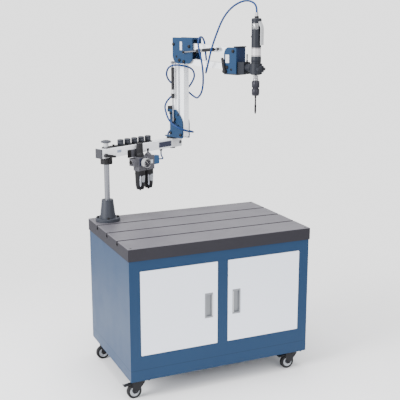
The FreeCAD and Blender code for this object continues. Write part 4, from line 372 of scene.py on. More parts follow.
@dataclass(frozen=True)
class DrumZone:
    """The middle of a wheel, which has another finish than its tyre.

    Args:
        axle: A point on the axle in metres.
        radius: Radius of the middle in metres.
        finish: The finish within that radius.
    """

    axle: Point
    radius: float
    finish: "Finish"

    def mask(self, graph: Graph) -> Socket:
        """Adds the zone's mask to a material and returns its output."""
        return graph.group(KIT.drum_zone(), {"Axle": self.axle, "Radius": self.radius})["Mask"]


@dataclass(frozen=True)
class Finish:
    """One surface finish of the machine.

    Args:
        name: Name of the finish.
        base: Main colour, linear.
        worn: Colour where it is worn, dusty or polished.
        wear: Share of the surface that shows the worn colour.
        roughness: Least roughness.
        metallic: 1 for bare metal and 0 for the rest.
        effect: The surface texture.
        scale: Texture scale, per metre.
        relief: Height of the texture in metres.
        coat: Clear coat weight.
        gloss: Specular level of the shader.
    """

    name: str
    base: Colour
    worn: Colour
    wear: float
    roughness: float
    metallic: float
    effect: Effect
    scale: float
    relief: float
    coat: float = 0.0
    gloss: float = 0.5

    def texture(self, graph: Graph) -> bpy.types.NodeOutputs:
        """Adds this finish's texture group to a material and returns its outputs."""
        return graph.group(KIT.texture(self.effect), {
            "Base": (*self.base, 1.0), "Worn": (*self.worn, 1.0), "Wear": self.wear,
            "Roughness": self.roughness, "Scale": self.scale})

    def material(self, zones: tuple[BoxZone | DrumZone, ...] = (), label: str = "") -> bpy.types.Material:
        """Builds the finish, with other finishes inside its zones.

        Args:
            zones: Parts of the surface with another finish.
            label: Name of the zoned material.

        Returns:
            The material, which is made once for each name.
        """
        name = label or self.name
        if name in MATERIALS:
            return MATERIALS[name]
        material = MATERIALS[name] = bpy.data.materials.new(name)
        material.use_nodes = True
        graph = Graph(material.node_tree)
        base = self.texture(graph)
        colour, rough = base["Color"], base["Roughness"]
        metal: Socket | float = self.metallic
        varied = any(zone.finish.metallic != self.metallic for zone in zones)
        for zone in zones:
            mask, other = zone.mask(graph), zone.finish.texture(graph)
            colour = graph.mixed("RGBA", mask, colour, other["Color"])
            rough = graph.mixed("FLOAT", mask, rough, other["Roughness"])
            if varied:
                metal = graph.mixed("FLOAT", mask, metal, zone.finish.metallic)
        bump = graph.add("Bump", {"Height": base["Height"], "Distance": self.relief, "Strength": 0.6})
        graph.feed(material.node_tree.nodes["Principled BSDF"], {
            "Base Color": colour, "Roughness": rough, "Metallic": metal, "Coat Weight": self.coat,
            "Specular IOR Level": self.gloss, "Normal": bump.outputs["Normal"]})
        return material


BLUE = Finish("blue_enamel", (0.0125, 0.0365, 0.086), (0.016, 0.045, 0.102), 0.35, 0.34, 0.0,
              Effect.ENAMEL, 900, 0.00004, 0.0, 0.16)
WHITE = Finish("white_enamel", (0.80, 0.84, 0.94), (0.74, 0.78, 0.88), 0.30, 0.30, 0.0,
               Effect.ENAMEL, 900, 0.00004, 0.20)
BAR_WHITE = Finish("bar_enamel", (0.92, 0.94, 0.98), (0.87, 0.89, 0.94), 0.30, 0.26, 0.0,
                   Effect.ENAMEL, 900, 0.00003, 0.35)
GROUND = Finish("ground_table_top", (0.134, 0.128, 0.148), (0.096, 0.091, 0.108), 0.75, 0.36, 0.25,
                Effect.GROUND, 60, 0.00003)
CASTING = Finish("painted_casting", (0.016, 0.015, 0.021), (0.028, 0.026, 0.034), 0.5, 0.55, 0.0,
                 Effect.CAST, 260, 0.0004, 0.0, 0.25)
CHARCOAL = Finish("charcoal_enamel", (0.023, 0.026, 0.036), (0.040, 0.044, 0.056), 0.5, 0.42, 0.0,
                  Effect.CAST, 420, 0.0002, 0.0, 0.3)
BLACKENED = Finish("blackened_steel", (0.012, 0.012, 0.014), (0.034, 0.033, 0.034), 0.45, 0.36, 0.35,
                   Effect.CAST, 700, 0.00006, 0.0, 0.25)
BLACK = Finish("black_plastic", (0.009, 0.009, 0.011), (0.020, 0.020, 0.024), 0.5, 0.42, 0.0,
               Effect.MOULDED, 1400, 0.00005, 0.0, 0.25)
GREY = Finish("grey_plastic", (0.036, 0.037, 0.044), (0.055, 0.056, 0.064), 0.4, 0.42, 0.0,
              Effect.MOULDED, 1400, 0.00005, 0.0, 0.3)
# Painted shade: a darker copy of the blue enamel for the head's end plate, which is the same blue as the
# brackets.
SHADE_NAVY = Finish("navy_painted_shade", (0.006, 0.018, 0.060), (0.009, 0.025, 0.078), 0.35, 0.36, 0.0,
              Effect.ENAMEL, 900, 0.00004, 0.0, 0.16)
SLATE = Finish("slate_plate", (0.026, 0.030, 0.060), (0.038, 0.042, 0.078), 0.3, 0.38, 0.1,
               Effect.BRUSHED, 500, 0.00001, 0.0, 0.3)
CHROME = Finish("ground_chrome", (0.35, 0.36, 0.40), (0.27, 0.28, 0.32), 0.4, 0.20, 1.0,
                Effect.BRUSHED, 420, 0.000008)
STEEL = Finish("bright_steel", (0.34, 0.34, 0.36), (0.24, 0.24, 0.26), 0.5, 0.28, 1.0,
               Effect.BRUSHED, 380, 0.00002)
ALLOY = Finish("satin_alloy", (0.52, 0.53, 0.55), (0.42, 0.43, 0.45), 0.4, 0.32, 0.7,
               Effect.BRUSHED, 300, 0.00002)
RUBBER = Finish("black_rubber", (0.010, 0.010, 0.012), (0.028, 0.027, 0.026), 0.4, 0.68, 0.0,
                Effect.RUBBER, 900, 0.00012, 0.0, 0.25)
HUB = Finish("light_hub", (0.52, 0.54, 0.58), (0.42, 0.44, 0.48), 0.4, 0.40, 0.0,
             Effect.MOULDED, 900, 0.00005)
HOSE_BLUE = Finish("hose_blue", (0.003, 0.026, 0.110), (0.006, 0.040, 0.145), 0.35, 0.34, 0.0,
                   Effect.MOULDED, 500, 0.00002, 0.0, 0.2)
BLOCK_BLUE = Finish("anodised_blue", (0.026, 0.085, 0.200), (0.040, 0.110, 0.240), 0.4, 0.34, 0.3,
                    Effect.CAST, 900, 0.00003, 0.0, 0.3)
PULL = Finish("pull_grey", (0.22, 0.23, 0.25), (0.17, 0.18, 0.20), 0.4, 0.36, 0.2,
              Effect.MOULDED, 900, 0.00003)
LABEL = Finish("bare_label", (0.62, 0.64, 0.68), (0.54, 0.56, 0.60), 0.4, 0.45, 0.0,
               Effect.ENAMEL, 700, 0.00001)
SIGHT = Finish("milky_sight", (0.62, 0.65, 0.70), (0.50, 0.54, 0.60), 0.4, 0.22, 0.0,
               Effect.MOULDED, 500, 0.00002, 0.3)
DIAL = Finish("dial_white", (0.80, 0.80, 0.78), (0.74, 0.74, 0.72), 0.3, 0.35, 0.0,
              Effect.ENAMEL, 900, 0.00001)
GROOVE = Finish("slot_shadow", (0.018, 0.017, 0.020), (0.032, 0.030, 0.035), 0.5, 0.50, 0.1,
                Effect.GROUND, 60, 0.00003, 0.0, 0.25)
SEAM = Finish("seam_shadow", (0.009, 0.026, 0.056), (0.013, 0.034, 0.070), 0.4, 0.50, 0.0,
              Effect.ENAMEL, 900, 0.00002, 0.0, 0.25)
FORK = Finish("dark_zinc", (0.009, 0.009, 0.011), (0.028, 0.028, 0.033), 0.45, 0.34, 0.25,
              Effect.CAST, 700, 0.00004, 0.0, 0.25)
PALE_ALLOY = Finish("pale_alloy", (0.62, 0.63, 0.66), (0.54, 0.55, 0.58), 0.4, 0.34, 0.15,
                    Effect.CAST, 900, 0.00003)
BODY_GREY = Finish("die_cast_grey", (0.085, 0.085, 0.100), (0.120, 0.120, 0.136), 0.5, 0.40, 0.15,
                   Effect.CAST, 800, 0.00006, 0.0, 0.35)
DIAL_DARK = Finish("dial_slate", (0.022, 0.022, 0.030), (0.030, 0.030, 0.040), 0.3, 0.36, 0.0,
                   Effect.ENAMEL, 900, 0.00001, 0.0, 0.25)
TOOL_GREY = Finish("tool_grey", (0.011, 0.013, 0.019), (0.022, 0.024, 0.034), 0.5, 0.44, 0.0,
                   Effect.CAST, 900, 0.00005, 0.0, 0.22)
SLEEVE = Finish("sleeve_silver", (0.50, 0.48, 0.50), (0.42, 0.40, 0.42), 0.4, 0.36, 0.25,
                Effect.BRUSHED, 300, 0.00002)
CHUCK = Finish("phosphated_steel", (0.014, 0.014, 0.021), (0.030, 0.030, 0.042), 0.5, 0.36, 0.25,
               Effect.CAST, 900, 0.00004, 0.0, 0.3)
BADGE = Finish("bare_badge", (0.24, 0.28, 0.38), (0.30, 0.34, 0.44), 0.4, 0.40, 0.0,
               Effect.ENAMEL, 900, 0.00001, 0.0, 0.3)
PALE = Finish("pale_floor", (0.93, 0.93, 0.94), (0.91, 0.91, 0.92), 0.5, 0.85, 0.0,
              Effect.ENAMEL, 40, 0.0, 0.0, 0.1)


def circle(shape: Shape, radius: float, up: float, count: int) -> Ring:
    """Adds a ring of points round the local z and returns it."""
    angles = [2 * math.pi * k / count for k in range(count)]
    return [shape.verts.new((radius * math.cos(a), radius * math.sin(a), up)) for a in angles]


def bridge(shape: Shape, rings: list[Ring], closed: bool = True) -> None:
    """Joins rings of the same length by faces.

    Args:
        shape: The mesh.
        rings: The rings in order.
        closed: Whether each ring's last point joins its first.
    """
    for low, high in zip(rings, rings[1:]):
        count = len(low)
        for k in range(count if closed else count - 1):
            after = (k + 1) % count
            shape.faces.new((low[k], low[after], high[after], high[k]))


def cap(shape: Shape, rings: list[Ring]) -> None:
    """Closes the first and the last ring with a face."""
    shape.faces.new(list(reversed(rings[0])))
    shape.faces.new(rings[-1])


def prism(shape: Shape, outline: Profile, low: float, high: float, spin: Matrix) -> None:
    """Adds a flat block.

    Args:
        shape: The mesh.
        outline: Its corners.
        low: Height of its bottom.
        high: Height of its top.
        spin: Its turn.
    """
    rings = [[shape.verts.new(spin @ Vector((x, y, z))) for x, y in outline] for z in (low, high)]
    bridge(shape, rings)
    cap(shape, rings)


def turned(profile: Profile, segments: int = 32) -> Shape:
    """Turns a profile of radius and height about the local z.

    Args:
        profile: Radius and height of each ring, in metres.
        segments: Number of steps round the axis.

    Returns:
        A closed mesh.
    """
    shape = bmesh.new()
    rings = [circle(shape, radius, height, segments if radius > 1e-6 else 1) for radius, height in profile]
    for low, high in zip(rings, rings[1:]):
        for k in range(segments):
            after = (k + 1) % segments
            corners = [low[k % len(low)], low[after % len(low)], high[after % len(high)], high[k % len(high)]]
            unique = list(dict.fromkeys(corners))
            if len(unique) > 2:
                shape.faces.new(unique)
    for ring in (list(reversed(rings[0])), rings[-1]):
        if len(ring) > 2:
            shape.faces.new(ring)
    return shape


def plate(width: float, height: float, thickness: float, corner: float, steps: int = 4) -> Shape:
    """Flat plate with rounded corners and a chamfered front edge, facing local -y.

    Args:
        width: Size along x.
        height: Size along z.
        thickness: Size along y.
        corner: Corner radius.
        steps: Faces in each rounded corner.

    Returns:
        A closed mesh whose back lies at y = 0.
    """
    shape = bmesh.new()
    edge = min(thickness, corner) * 0.4
    rings = []
    for inset, depth in ((0.0, 0.0), (0.0, edge - thickness), (edge, -thickness)):
        ring = []
        for quarter, (i, j) in enumerate(((1, 1), (-1, 1), (-1, -1), (1, -1))):
            for step in range(steps + 1):
                angle = math.pi / 2 * (quarter + step / steps)
                x = i * (width / 2 - corner) + (corner - inset) * math.cos(angle)
                z = j * (height / 2 - corner) + (corner - inset) * math.sin(angle)
                ring.append(shape.verts.new((x, depth, z)))
        rings.append(ring)
    bridge(shape, rings)
    cap(shape, rings)
    return shape


def ridged_band(radius: float, depth: float, low: float, high: float, ridges: int) -> Shape:
    """Band of straight ridges round the local z, such as a knurl.

    Args:
        radius: Radius at the foot of the ridges.
        depth: Height of the ridges.
        low: Lower end of the band.
        high: Upper end of the band.
        ridges: Number of ridges.

    Returns:
        A hollow band that stands just outside the radius.
    """
    shape = bmesh.new()
    edge = min(depth, (high - low) / 4)
    rings = []
    for up, share in ((low, 0.0), (low + edge, 1.0), (high - edge, 1.0), (high, 0.0)):
        ring = []
        for k in range(ridges * 2):
            reach = radius + depth * share * (1.0 if k % 2 else 0.25) + 0.00002
            angle = math.pi * k / ridges
            ring.append(shape.verts.new((reach * math.cos(angle), reach * math.sin(angle), up)))
        rings.append(ring)
    rings += [circle(shape, radius * 0.97, up, ridges * 2) for up in (high, low)]
    bridge(shape, rings + rings[:1])
    return shape


def button(radius: float, height: float, segments: int = 24) -> Shape:
    """Domed screw head with a hexagon socket, its seat at z = 0.

    Args:
        radius: Radius of the head.
        height: Height of the dome.
        segments: Number of steps round the axis.

    Returns:
        A closed mesh.
    """
    shape = bmesh.new()
    dome = ((0.98, 0.0), (1.0, 0.15), (0.9, 0.62), (0.68, 0.94), (0.56, 1.0))
    rings = [circle(shape, radius * r, height * h, segments) for r, h in dome]
    for depth in (height, height * 0.35):
        ring = []
        for k in range(segments):
            angle = 2 * math.pi * k / segments
            local = (angle % (math.pi / 3)) - math.pi / 6
            reach = radius * 0.46 * math.cos(math.pi / 6) / math.cos(local)
            ring.append(shape.verts.new((reach * math.cos(angle), reach * math.sin(angle), depth)))
        rings.append(ring)
    bridge(shape, rings)
    cap(shape, rings)
    return shape


class Workshop:
    """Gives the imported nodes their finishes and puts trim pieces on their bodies."""

    def __init__(self, nodes: dict[str, bpy.types.Object]) -> None:
        """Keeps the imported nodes.

        Args:
            nodes: The frame's nodes by name.
        """
        self.nodes = nodes

    def dress(self, node: str, finish: Finish, *zones: BoxZone | DrumZone) -> None:
        """Gives a node of the frame its finish.

        Args:
            node: Name of the node.
            finish: Its main finish.
            zones: Parts of it with another finish.
        """
        material = finish.material(zones, f"{node}_{finish.name}" if zones else "")
        mesh = self.nodes[node].data
        if not mesh.materials:
            mesh.materials.append(material)
        for index in range(len(mesh.materials)):
            mesh.materials[index] = material

    def add(self, name: str, shape: Shape, matrix: Matrix, body: str, finish: Finish,
            smooth_angle: float = 35.0) -> None:
        """Makes a piece from a mesh and puts it on a body.

        Args:
            name: Name of the piece.
            shape: Its mesh, which is freed.
            matrix: Its place in the model.
            body: The body that it rides on.
            finish: Its finish.
            smooth_angle: Edges flatter than this are shaded smooth, in degrees.
        """
        mesh = bpy.data.meshes.new(name)
        shape.transform(matrix)
        bmesh.ops.recalc_face_normals(shape, faces=shape.faces)
        shape.to_mesh(mesh)
        shape.free()
        mesh.shade_smooth()
        mesh.set_sharp_from_angle(angle=math.radians(smooth_angle))
        piece = bpy.data.objects.new(name, mesh)
        bpy.context.scene.collection.objects.link(piece)
        mesh.materials.append(finish.material())
        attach(piece, body)
        LOG.info("%s rides on %s", name, body)


@dataclass(frozen=True)
class Section:
    """A section of the machine, with the finish and zones of each of its nodes.

    Args:
        shop: Maker of trim pieces.
    """

    PLAIN: ClassVar[dict[str, Finish]] = {}
    ZONED: ClassVar[dict[str, tuple]] = {}
    shop: Workshop

    def dress(self) -> None:
        """Gives the section's nodes their finishes."""
        for node, finish in self.PLAIN.items():
            self.shop.dress(node, finish)
        for node, (finish, *zones) in self.ZONED.items():
            self.shop.dress(node, finish, *zones)


@dataclass(frozen=True)
class Cart(Section):
    """Table, cabinet, doors and casters; sizes in metres.

    Args:
        pull_middle: Distance of a door pull from the cart's middle.
        pull_height: Height of the pulls' middle.
        hub_radius: Radius of a wheel's light hub.
        cap_radius: Radius of the black cap in the hub.
        bosses: Number of bosses on each side of a hub.
        boss_circle: Radius of the circle that the bosses stand on.
    """

    SEAM_ZONE = BoxZone(CART, (-0.51, -0.34, 0.1569), (0.51, 0.34, 0.1592), SEAM)
    PLAIN = {"socket_screws": BLACKENED, "caster_plates": BLACKENED,
             "brake_pedal_fl": BLACK, "brake_pedal_fr": BLACK}
    ZONED = {
        "t_slot_table": (CASTING, BoxZone(CART, (-0.497, -0.30, 0.757), (0.497, 0.30, 0.7812), GROOVE),
                         BoxZone(CART, (-0.51, -0.34, 0.7812), (0.51, 0.34, 0.79), GROUND)),
        "cabinet_shell": (BLUE, SEAM_ZONE),
        "cabinet_plinth": (BLUE, SEAM_ZONE),
    }
    pull_middle: float = 0.077
    pull_height: float = 0.4405
    hub_radius: float = 0.0245
    cap_radius: float = 0.0105
    bosses: int = 5
    boss_circle: float = 0.0165

    def build(self) -> None:
        """Finishes the doors and casters and adds their trim."""
        for side, sign in (("left", -1), ("right", 1)):
            self.door(side, sign)
        for key in ("fl", "fr", "bl", "br"):
            self.caster(key)

    def door(self, side: str, sign: int) -> None:
        """Finishes a door and adds the dark grip floor and the lip of its pull.

        Args:
            side: Name of the side.
            sign: -1 for the left door and 1 for the right one.
        """
        middle, door = sign * self.pull_middle, f"{side}_door"
        pull = BoxZone(CART, (middle - 0.0225, -0.335, 0.375), (middle + 0.0225, -0.30, 0.507), PULL)
        self.shop.dress(door, WHITE, pull)
        for name, size, along, front, finish in (
                ("grip_floor", (0.026, 0.106, 0.0014, 0.003), self.pull_middle, -0.3148, GREY),
                ("pull_lip", (0.005, 0.112, 0.0016, 0.0022), 0.0585, -0.3275, ALLOY)):
            place = Matrix.Translation((sign * along, front, self.pull_height))
            self.shop.add(f"{door}_{name}", plate(*size), place, door, finish)

    def caster(self, key: str) -> None:
        """Finishes a caster and adds the bosses on both faces of its wheel's hub.

        Args:
            key: Which caster.
        """
        self.shop.dress(f"caster_fork_{key}", FORK)
        wheel = f"caster_wheel_{key}"
        axle = tuple((a + b) / 2 for a, b in zip(*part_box(wheel)))
        self.shop.dress(wheel, RUBBER, DrumZone(axle, self.hub_radius, HUB),
                        DrumZone(axle, self.cap_radius, BLACK))
        bosses = bmesh.new()
        for side in (-1, 1):
            for number in range(self.bosses):
                angle = 2 * math.pi * number / self.bosses + 0.3
                place = Matrix.Translation((axle[0] + self.boss_circle * math.cos(angle),
                                            axle[1] + side * 0.0030,
                                            axle[2] + self.boss_circle * math.sin(angle)))
                boss = turned([(0.0034, 0.0), (0.0032, 0.0036), (0.0018, 0.0042), (0.0, 0.0042)], 16)
                boss.transform(place @ Matrix.Rotation(math.radians(-90 * side), 4, "X"))
                temporary = bpy.data.meshes.new("boss")
                boss.to_mesh(temporary)
                boss.free()
                bosses.from_mesh(temporary)
                bpy.data.meshes.remove(temporary)
        self.shop.add(f"wheel_bosses_{key}", bosses, Matrix.Identity(4), f"wheel_{key}", HUB)


@dataclass(frozen=True)
class Beam(Section):
    """Column, beam, rail of tap adapters and the air unit, in the column's frame; sizes in metres.

    Args:
        front: The beam's front face.
        body_front: Front face of the air unit's bodies.
        body_middle: Middle plane of the air unit.
        regulator: Place of the regulator's axis along the beam.
        bowl_pitch: Distance between the two bowls.
        adapters: Number of tap adapters.
        first_adapter: Place of the first adapter along the beam.
        adapter_pitch: Distance between two adapters.
        gauge_ticks: Number of ticks on the gauge's scale.
        ticks_per_long: Every how many ticks one is long.
    """

    PLAIN = {"column_base": CHARCOAL, "column_tube": CHROME, "column_collar": BLACKENED,
             "beam_tube": BAR_WHITE, "beam_end_cap": GREY, "beam_lever": BLACK, "tool_rail": BLACKENED,
             "air_unit_bowls": BLACK, "pressure_gauge": ALLOY, "regulator_knob": BLACK, "drip_knob": BLACK}
    ZONED = {
        "top_knob": (ALLOY, BoxZone(COLUMN, (-0.03, -0.03, 0.393), (0.03, 0.03, 0.4002), BLACKENED),
                     BoxZone(COLUMN, (-0.03, -0.03, 0.4238), (0.03, 0.03, 0.45), CHARCOAL)),
        "beam_end_block": (PALE_ALLOY, BoxZone(COLUMN, (0.52, -0.04, 0.355), (0.56, -0.0252, 0.385), GREY)),
        # Painted highlight: the adapters' tops are painted a lighter grey for the light that falls on them
        # from above. The adapters themselves are charcoal.
        "tap_adapters": (CHARCOAL, BoxZone(COLUMN, (0.0, -0.03, 0.4268), (0.40, 0.03, 0.435), GREY)),
        "air_unit_bodies": (BODY_GREY,
                            BoxZone(COLUMN, (0.10, -0.088, 0.3268), (0.152, -0.02, 0.375), BLACKENED)),
        "outlet_block": (BLOCK_BLUE, BoxZone(COLUMN, (0.3262, -0.08, 0.25), (0.42, 0.02, 0.36), HOSE_BLUE),
                         BoxZone(COLUMN, (0.386, -0.02, 0.3338), (0.406, 0.0, 0.36), BLACKENED)),
    }
    front: float = -0.025
    body_front: float = -0.078
    body_middle: float = -0.055
    regulator: float = 0.190
    bowl_pitch: float = 0.062
    adapters: int = 5
    first_adapter: float = 0.102
    adapter_pitch: float = 0.0505
    gauge_ticks: int = 25
    ticks_per_long: int = 4

    def build(self) -> None:
        """Adds the trim of the beam and the air unit."""
        self.beam_plates()
        self.adapter_knurls()
        for number in range(2):
            self.sight_window(number, self.regulator + self.bowl_pitch * number)
        self.gauge()
        self.air_fittings()

    def beam_plates(self) -> None:
        """Bare nameplate with its rivets, and bare badge, on the beam's front."""
        place = COLUMN.at(0.4155, self.front, 0.369)
        self.shop.add("beam_nameplate", plate(0.099, 0.031, 0.0012, 0.0025), place, "beam", SLATE)
        for number, along in enumerate((0.3705, 0.4605)):
            rivet = turned([(0.0024, 0.0), (0.0020, 0.0009), (0.0, 0.0014)], 16)
            place = COLUMN.facing(along, -0.0262, 0.369, FRONTWARD)
            self.shop.add(f"nameplate_rivet_{number}", rivet, place, "beam", STEEL)
        place = COLUMN.at(0.070, self.front, 0.372)
        self.shop.add("beam_badge", plate(0.030, 0.014, 0.0010, 0.0020), place, "beam", BADGE)

    def adapter_knurls(self) -> None:
        """Ridged grip bands round the five tap adapters."""
        for number in range(self.adapters):
            along = self.first_adapter + self.adapter_pitch * number
            for low, high in ((0.0025, 0.0170), (0.0178, 0.0265)):
                band = ridged_band(0.0166, 0.0007, low, high, 36)
                name = f"adapter_grip_{number}_{int(low * 10000)}"
                self.shop.add(name, band, COLUMN.at(along, 0.0, 0.400), "beam", CHARCOAL)

    def air_fittings(self) -> None:
        """Bare labels, screws, inlet nut and port ring of the air unit, and its knob's grip."""
        shop = self.shop
        place = COLUMN.at(0.252, self.body_front, 0.298)
        shop.add("lubricator_label", plate(0.030, 0.020, 0.0008, 0.0016), place, "beam", LABEL)
        for number, along in enumerate((0.168, 0.212, 0.230, 0.274)):
            place = COLUMN.facing(along, self.body_front, 0.264, FRONTWARD)
            shop.add(f"air_body_screw_{number}", button(0.0030, 0.0016), place, "beam", BLACKENED)
        nut = turned([(0.0135, 0.0), (0.0135, 0.006), (0.0120, 0.007)], 6)
        place = COLUMN.facing(0.1310, self.body_middle, 0.306, LEFTWARD)
        shop.add("inlet_nut", nut, place, "beam", STEEL, 20.0)
        ring = turned([(0.0108, 0.0), (0.0108, 0.0022), (0.0082, 0.0022), (0.0076, 0.0004), (0.0, 0.0004)])
        place = COLUMN.facing(0.1230, self.body_middle, 0.306, LEFTWARD)
        shop.add("inlet_port_ring", ring, place, "beam", BLACKENED)
        place = COLUMN.at(0.1755, self.body_front, 0.3045)
        shop.add("regulator_plate", plate(0.020, 0.040, 0.0008, 0.0016), place, "beam", SLATE)
        grip = ridged_band(0.0220, 0.0006, 0.0, 0.014, 44)
        place = COLUMN.at(self.regulator, self.body_middle, 0.3335)
        shop.add("regulator_grip", grip, place, "regulator_knob", BLACK)

    def sight_window(self, number: int, along: float) -> None:
        """Milky window let into the front of a bowl's guard, with a white strip along its left edge that is a
        painted highlight, the glare on the window's edge.

        Args:
            number: Which bowl.
            along: Place of the bowl along the beam.
        """
        columns, rows = 10, 12
        for name, first, last, low, high, proud, finish in (
                ("sight", -24.0, 38.0, 0.191, 0.229, 0.0004, SIGHT),
                # The white strip is a painted highlight, the glare on the window's left edge, not a part of
                # the bowl.
                ("sight_painted_glare", -47.0, -31.0, 0.168, 0.229, 0.0007, WHITE)):
            shape = bmesh.new()
            grid = []
            for row in range(rows + 1):
                share = row / rows
                up = low + (high - low) * share
                radius = 0.025 + 0.003 * (up - 0.171) / 0.070 + proud
                squeeze = math.sqrt(max(0.0, 1.0 - (2 * share - 1) ** 6))
                middle, half = (first + last) / 2, (last - first) / 2 * (0.35 + 0.65 * squeeze)
                angles = [math.radians(middle - half + 2 * half * column / columns)
                          for column in range(columns + 1)]
                grid.append([shape.verts.new((radius * math.sin(a), -radius * math.cos(a), up))
                             for a in angles])
            bridge(shape, grid, closed=False)
            bmesh.ops.solidify(shape, geom=shape.faces[:], thickness=0.0012)
            place = COLUMN.at(along, self.body_middle, 0.0)
            self.shop.add(f"bowl_{name}_{number}", shape, place, "beam", finish)

    def gauge(self) -> None:
        """Dial, scale, needle, boss and rim of the pressure gauge, without figures."""
        scale = bmesh.new()
        for number in range(self.gauge_ticks):
            inner, half = (0.0180, 0.00025) if number % self.ticks_per_long else (0.0160, 0.00045)
            outline = [(-half, inner), (half, inner), (half, 0.0200), (-half, 0.0200)]
            spin = Matrix.Rotation(math.radians(-135 + 11.25 * number), 4, "Z")
            prism(scale, outline, 0.0004, 0.0007, spin)
        needle = bmesh.new()
        outline = [(-0.0011, -0.006), (0.0011, -0.006), (0.0004, 0.0175), (-0.0004, 0.0175)]
        prism(needle, outline, 0.0008, 0.0012, Matrix.Rotation(math.radians(38), 4, "Z"))
        rim = turned([(0.0252, -0.0040), (0.0256, -0.0034), (0.0256, 0.0012), (0.0248, 0.0020),
                      (0.0234, 0.0020), (0.0228, 0.0012), (0.0228, 0.0004)], 48)
        for face in [face for face in rim.faces if len(face.verts) > 4]:
            rim.faces.remove(face)
        boss = turned([(0.0026, 0.0004), (0.0026, 0.0013), (0.0012, 0.0017), (0.0, 0.0017)], 20)
        place = COLUMN.facing(self.regulator, -0.1160, 0.302, FRONTWARD)
        for name, shape, finish in (
                ("dial", turned([(0.0226, 0.0), (0.0226, 0.0004), (0.0, 0.0004)], 48), DIAL_DARK),
                ("scale", scale, DIAL), ("needle", needle, DIAL),
                ("boss", boss, BLACK), ("rim", rim, ALLOY)):
            self.shop.add(f"gauge_{name}", shape, place, "beam", finish)


def both_sides(low: Point, high: Point) -> tuple[BoxZone, BoxZone]:
    """Zones of blackened pin heads on the arm's near side and, mirrored, on its far side.

    Args:
        low: Lowest corner of the near zone, in the arm's frame.
        high: Highest corner of the near zone.

    Returns:
        The near and the far zone.
    """
    return (BoxZone(ARM, low, high, BLACKENED),
            BoxZone(ARM, (low[0], -high[1], low[2]), (high[0], -low[1], high[2]), BLACKENED))


@dataclass(frozen=True)
class Arm(Section):
    """Lower bracket, both parallelogram stages, elbow and head, in the arm's frame; sizes in metres.

    Args:
        pin_head: Radius and height of a cross pin's head.
        plate_screw: Radius and height of a bracket plate's screw head.
        swept_by_lever: The head that is left out, because the head lever passes there.
    """

    PLAIN = {"swivel_collar": BLACKENED, "front_bar": BAR_WHITE, "bottom_bar": BAR_WHITE,
             "spring_1_rod": CHROME, "spring_2_rod": CHROME, "head_lever": BLACK}
    ZONED = {
        "lower_bracket": (BLUE, *both_sides((-0.02, -0.06, 0.0), (0.14, -0.0281, 0.20)),
                          BoxZone(ARM, (-0.02, -0.0275, 0.1681), (0.045, 0.0275, 0.19), RUBBER)),
        "rear_bar": (BAR_WHITE, BoxZone(ARM, (0.03, -0.06, 0.41), (0.07, -0.0182, 0.45), STEEL)),
        "top_bar": (BAR_WHITE, BoxZone(ARM, (0.40, -0.06, 0.48), (0.43, -0.0182, 0.54), STEEL)),
        "spring_1_cylinder": (BLACK, BoxZone(ARM, (0.03, -0.06, 0.2590), (0.07, -0.02, 0.2800), ALLOY),
                              BoxZone(ARM, (0.03, -0.06, 0.4030), (0.07, -0.02, 0.4500), STEEL)),
        "spring_2_cylinder": (BLACK, BoxZone(ARM, (0.2834, -0.06, 0.45), (0.3040, -0.02, 0.55), ALLOY)),
        "elbow_bracket": (BLUE, *both_sides((0.04, -0.07, 0.40), (0.22, -0.0341, 0.60)),
                          BoxZone(ARM, (0.140, -0.0278, 0.472), (0.172, 0.0278, 0.5035), RUBBER)),
        "head_bracket": (BLUE, *both_sides((0.44, -0.07, 0.392), (0.5395, -0.0341, 0.60)),
                         BoxZone(ARM, (0.44, -0.04, 0.5240), (0.56, 0.04, 0.54), BLACKENED),
                         BoxZone(ARM, (0.44, -0.04, 0.38), (0.56, 0.04, 0.3917), CHARCOAL),
                         # The head's end plate is painted a darker navy as painted shade. It is the same blue
                         # enamel as the brackets.
                         BoxZone(ARM, (0.5352, -0.0281, 0.4520), (0.5402, 0.0281, 0.5240), SHADE_NAVY)),
    }
    PINS = (("arm_base", 0.033, ((0.105, 0.029), (0.056, 0.114), (0.020, 0.034), (0.020, 0.146))),
            ("elbow", 0.039, ((0.105, 0.444), (0.056, 0.529), (0.141, 0.438), (0.184, 0.520))),
            ("head", 0.039, ((0.4757, 0.4234), (0.5187, 0.5054))))
    PLATE_SCREWS = (("elbow", 0.034, 0.080, 0.463), ("head", 0.034, 0.505, 0.412),
                    ("arm_base", 0.028, 0.083, 0.140))
    pin_head: tuple[float, float] = (0.0080, 0.0026)
    plate_screw: tuple[float, float] = (0.0062, 0.0032)
    swept_by_lever: str = "head_pin_head_0_near"

    def build(self) -> None:
        """Adds the heads of the cross pins and plate screws, and two bare labels."""
        for body, out, places in self.PINS:
            for number, (along, up) in enumerate(places):
                self.heads(f"{body}_pin_head_{number}", body, out, along, up, self.pin_head)
        for body, out, along, up in self.PLATE_SCREWS:
            self.heads(f"{body}_plate_screw", body, out, along, up, self.plate_screw)
        for body, size, along, up in (("elbow", (0.017, 0.046, 0.0010, 0.0018), 0.1165, 0.521),
                                      ("head", (0.026, 0.042, 0.0010, 0.0022), 0.4760, 0.4660)):
            self.shop.add(f"{body}_label", plate(*size), ARM.at(along, -0.034, up), body, LABEL)

    def heads(self, name: str, body: str, out: float, along: float, up: float,
              size: tuple[float, float]) -> None:
        """Screw heads on the near and far face of a bracket, but not where the head lever passes.

        Args:
            name: Start of the pieces' names.
            body: The body that they ride on.
            out: Distance of the faces from the arm's middle plane.
            along: Place along the arm.
            up: Height above the beam.
            size: Radius and height of the heads.
        """
        for side, end in ((-1, "near"), (1, "far")):
            if f"{name}_{end}" != self.swept_by_lever:
                place = ARM.facing(along, side * out, up, (0.0, side, 0.0))
                self.shop.add(f"{name}_{end}", button(*size), place, body, BLACKENED)


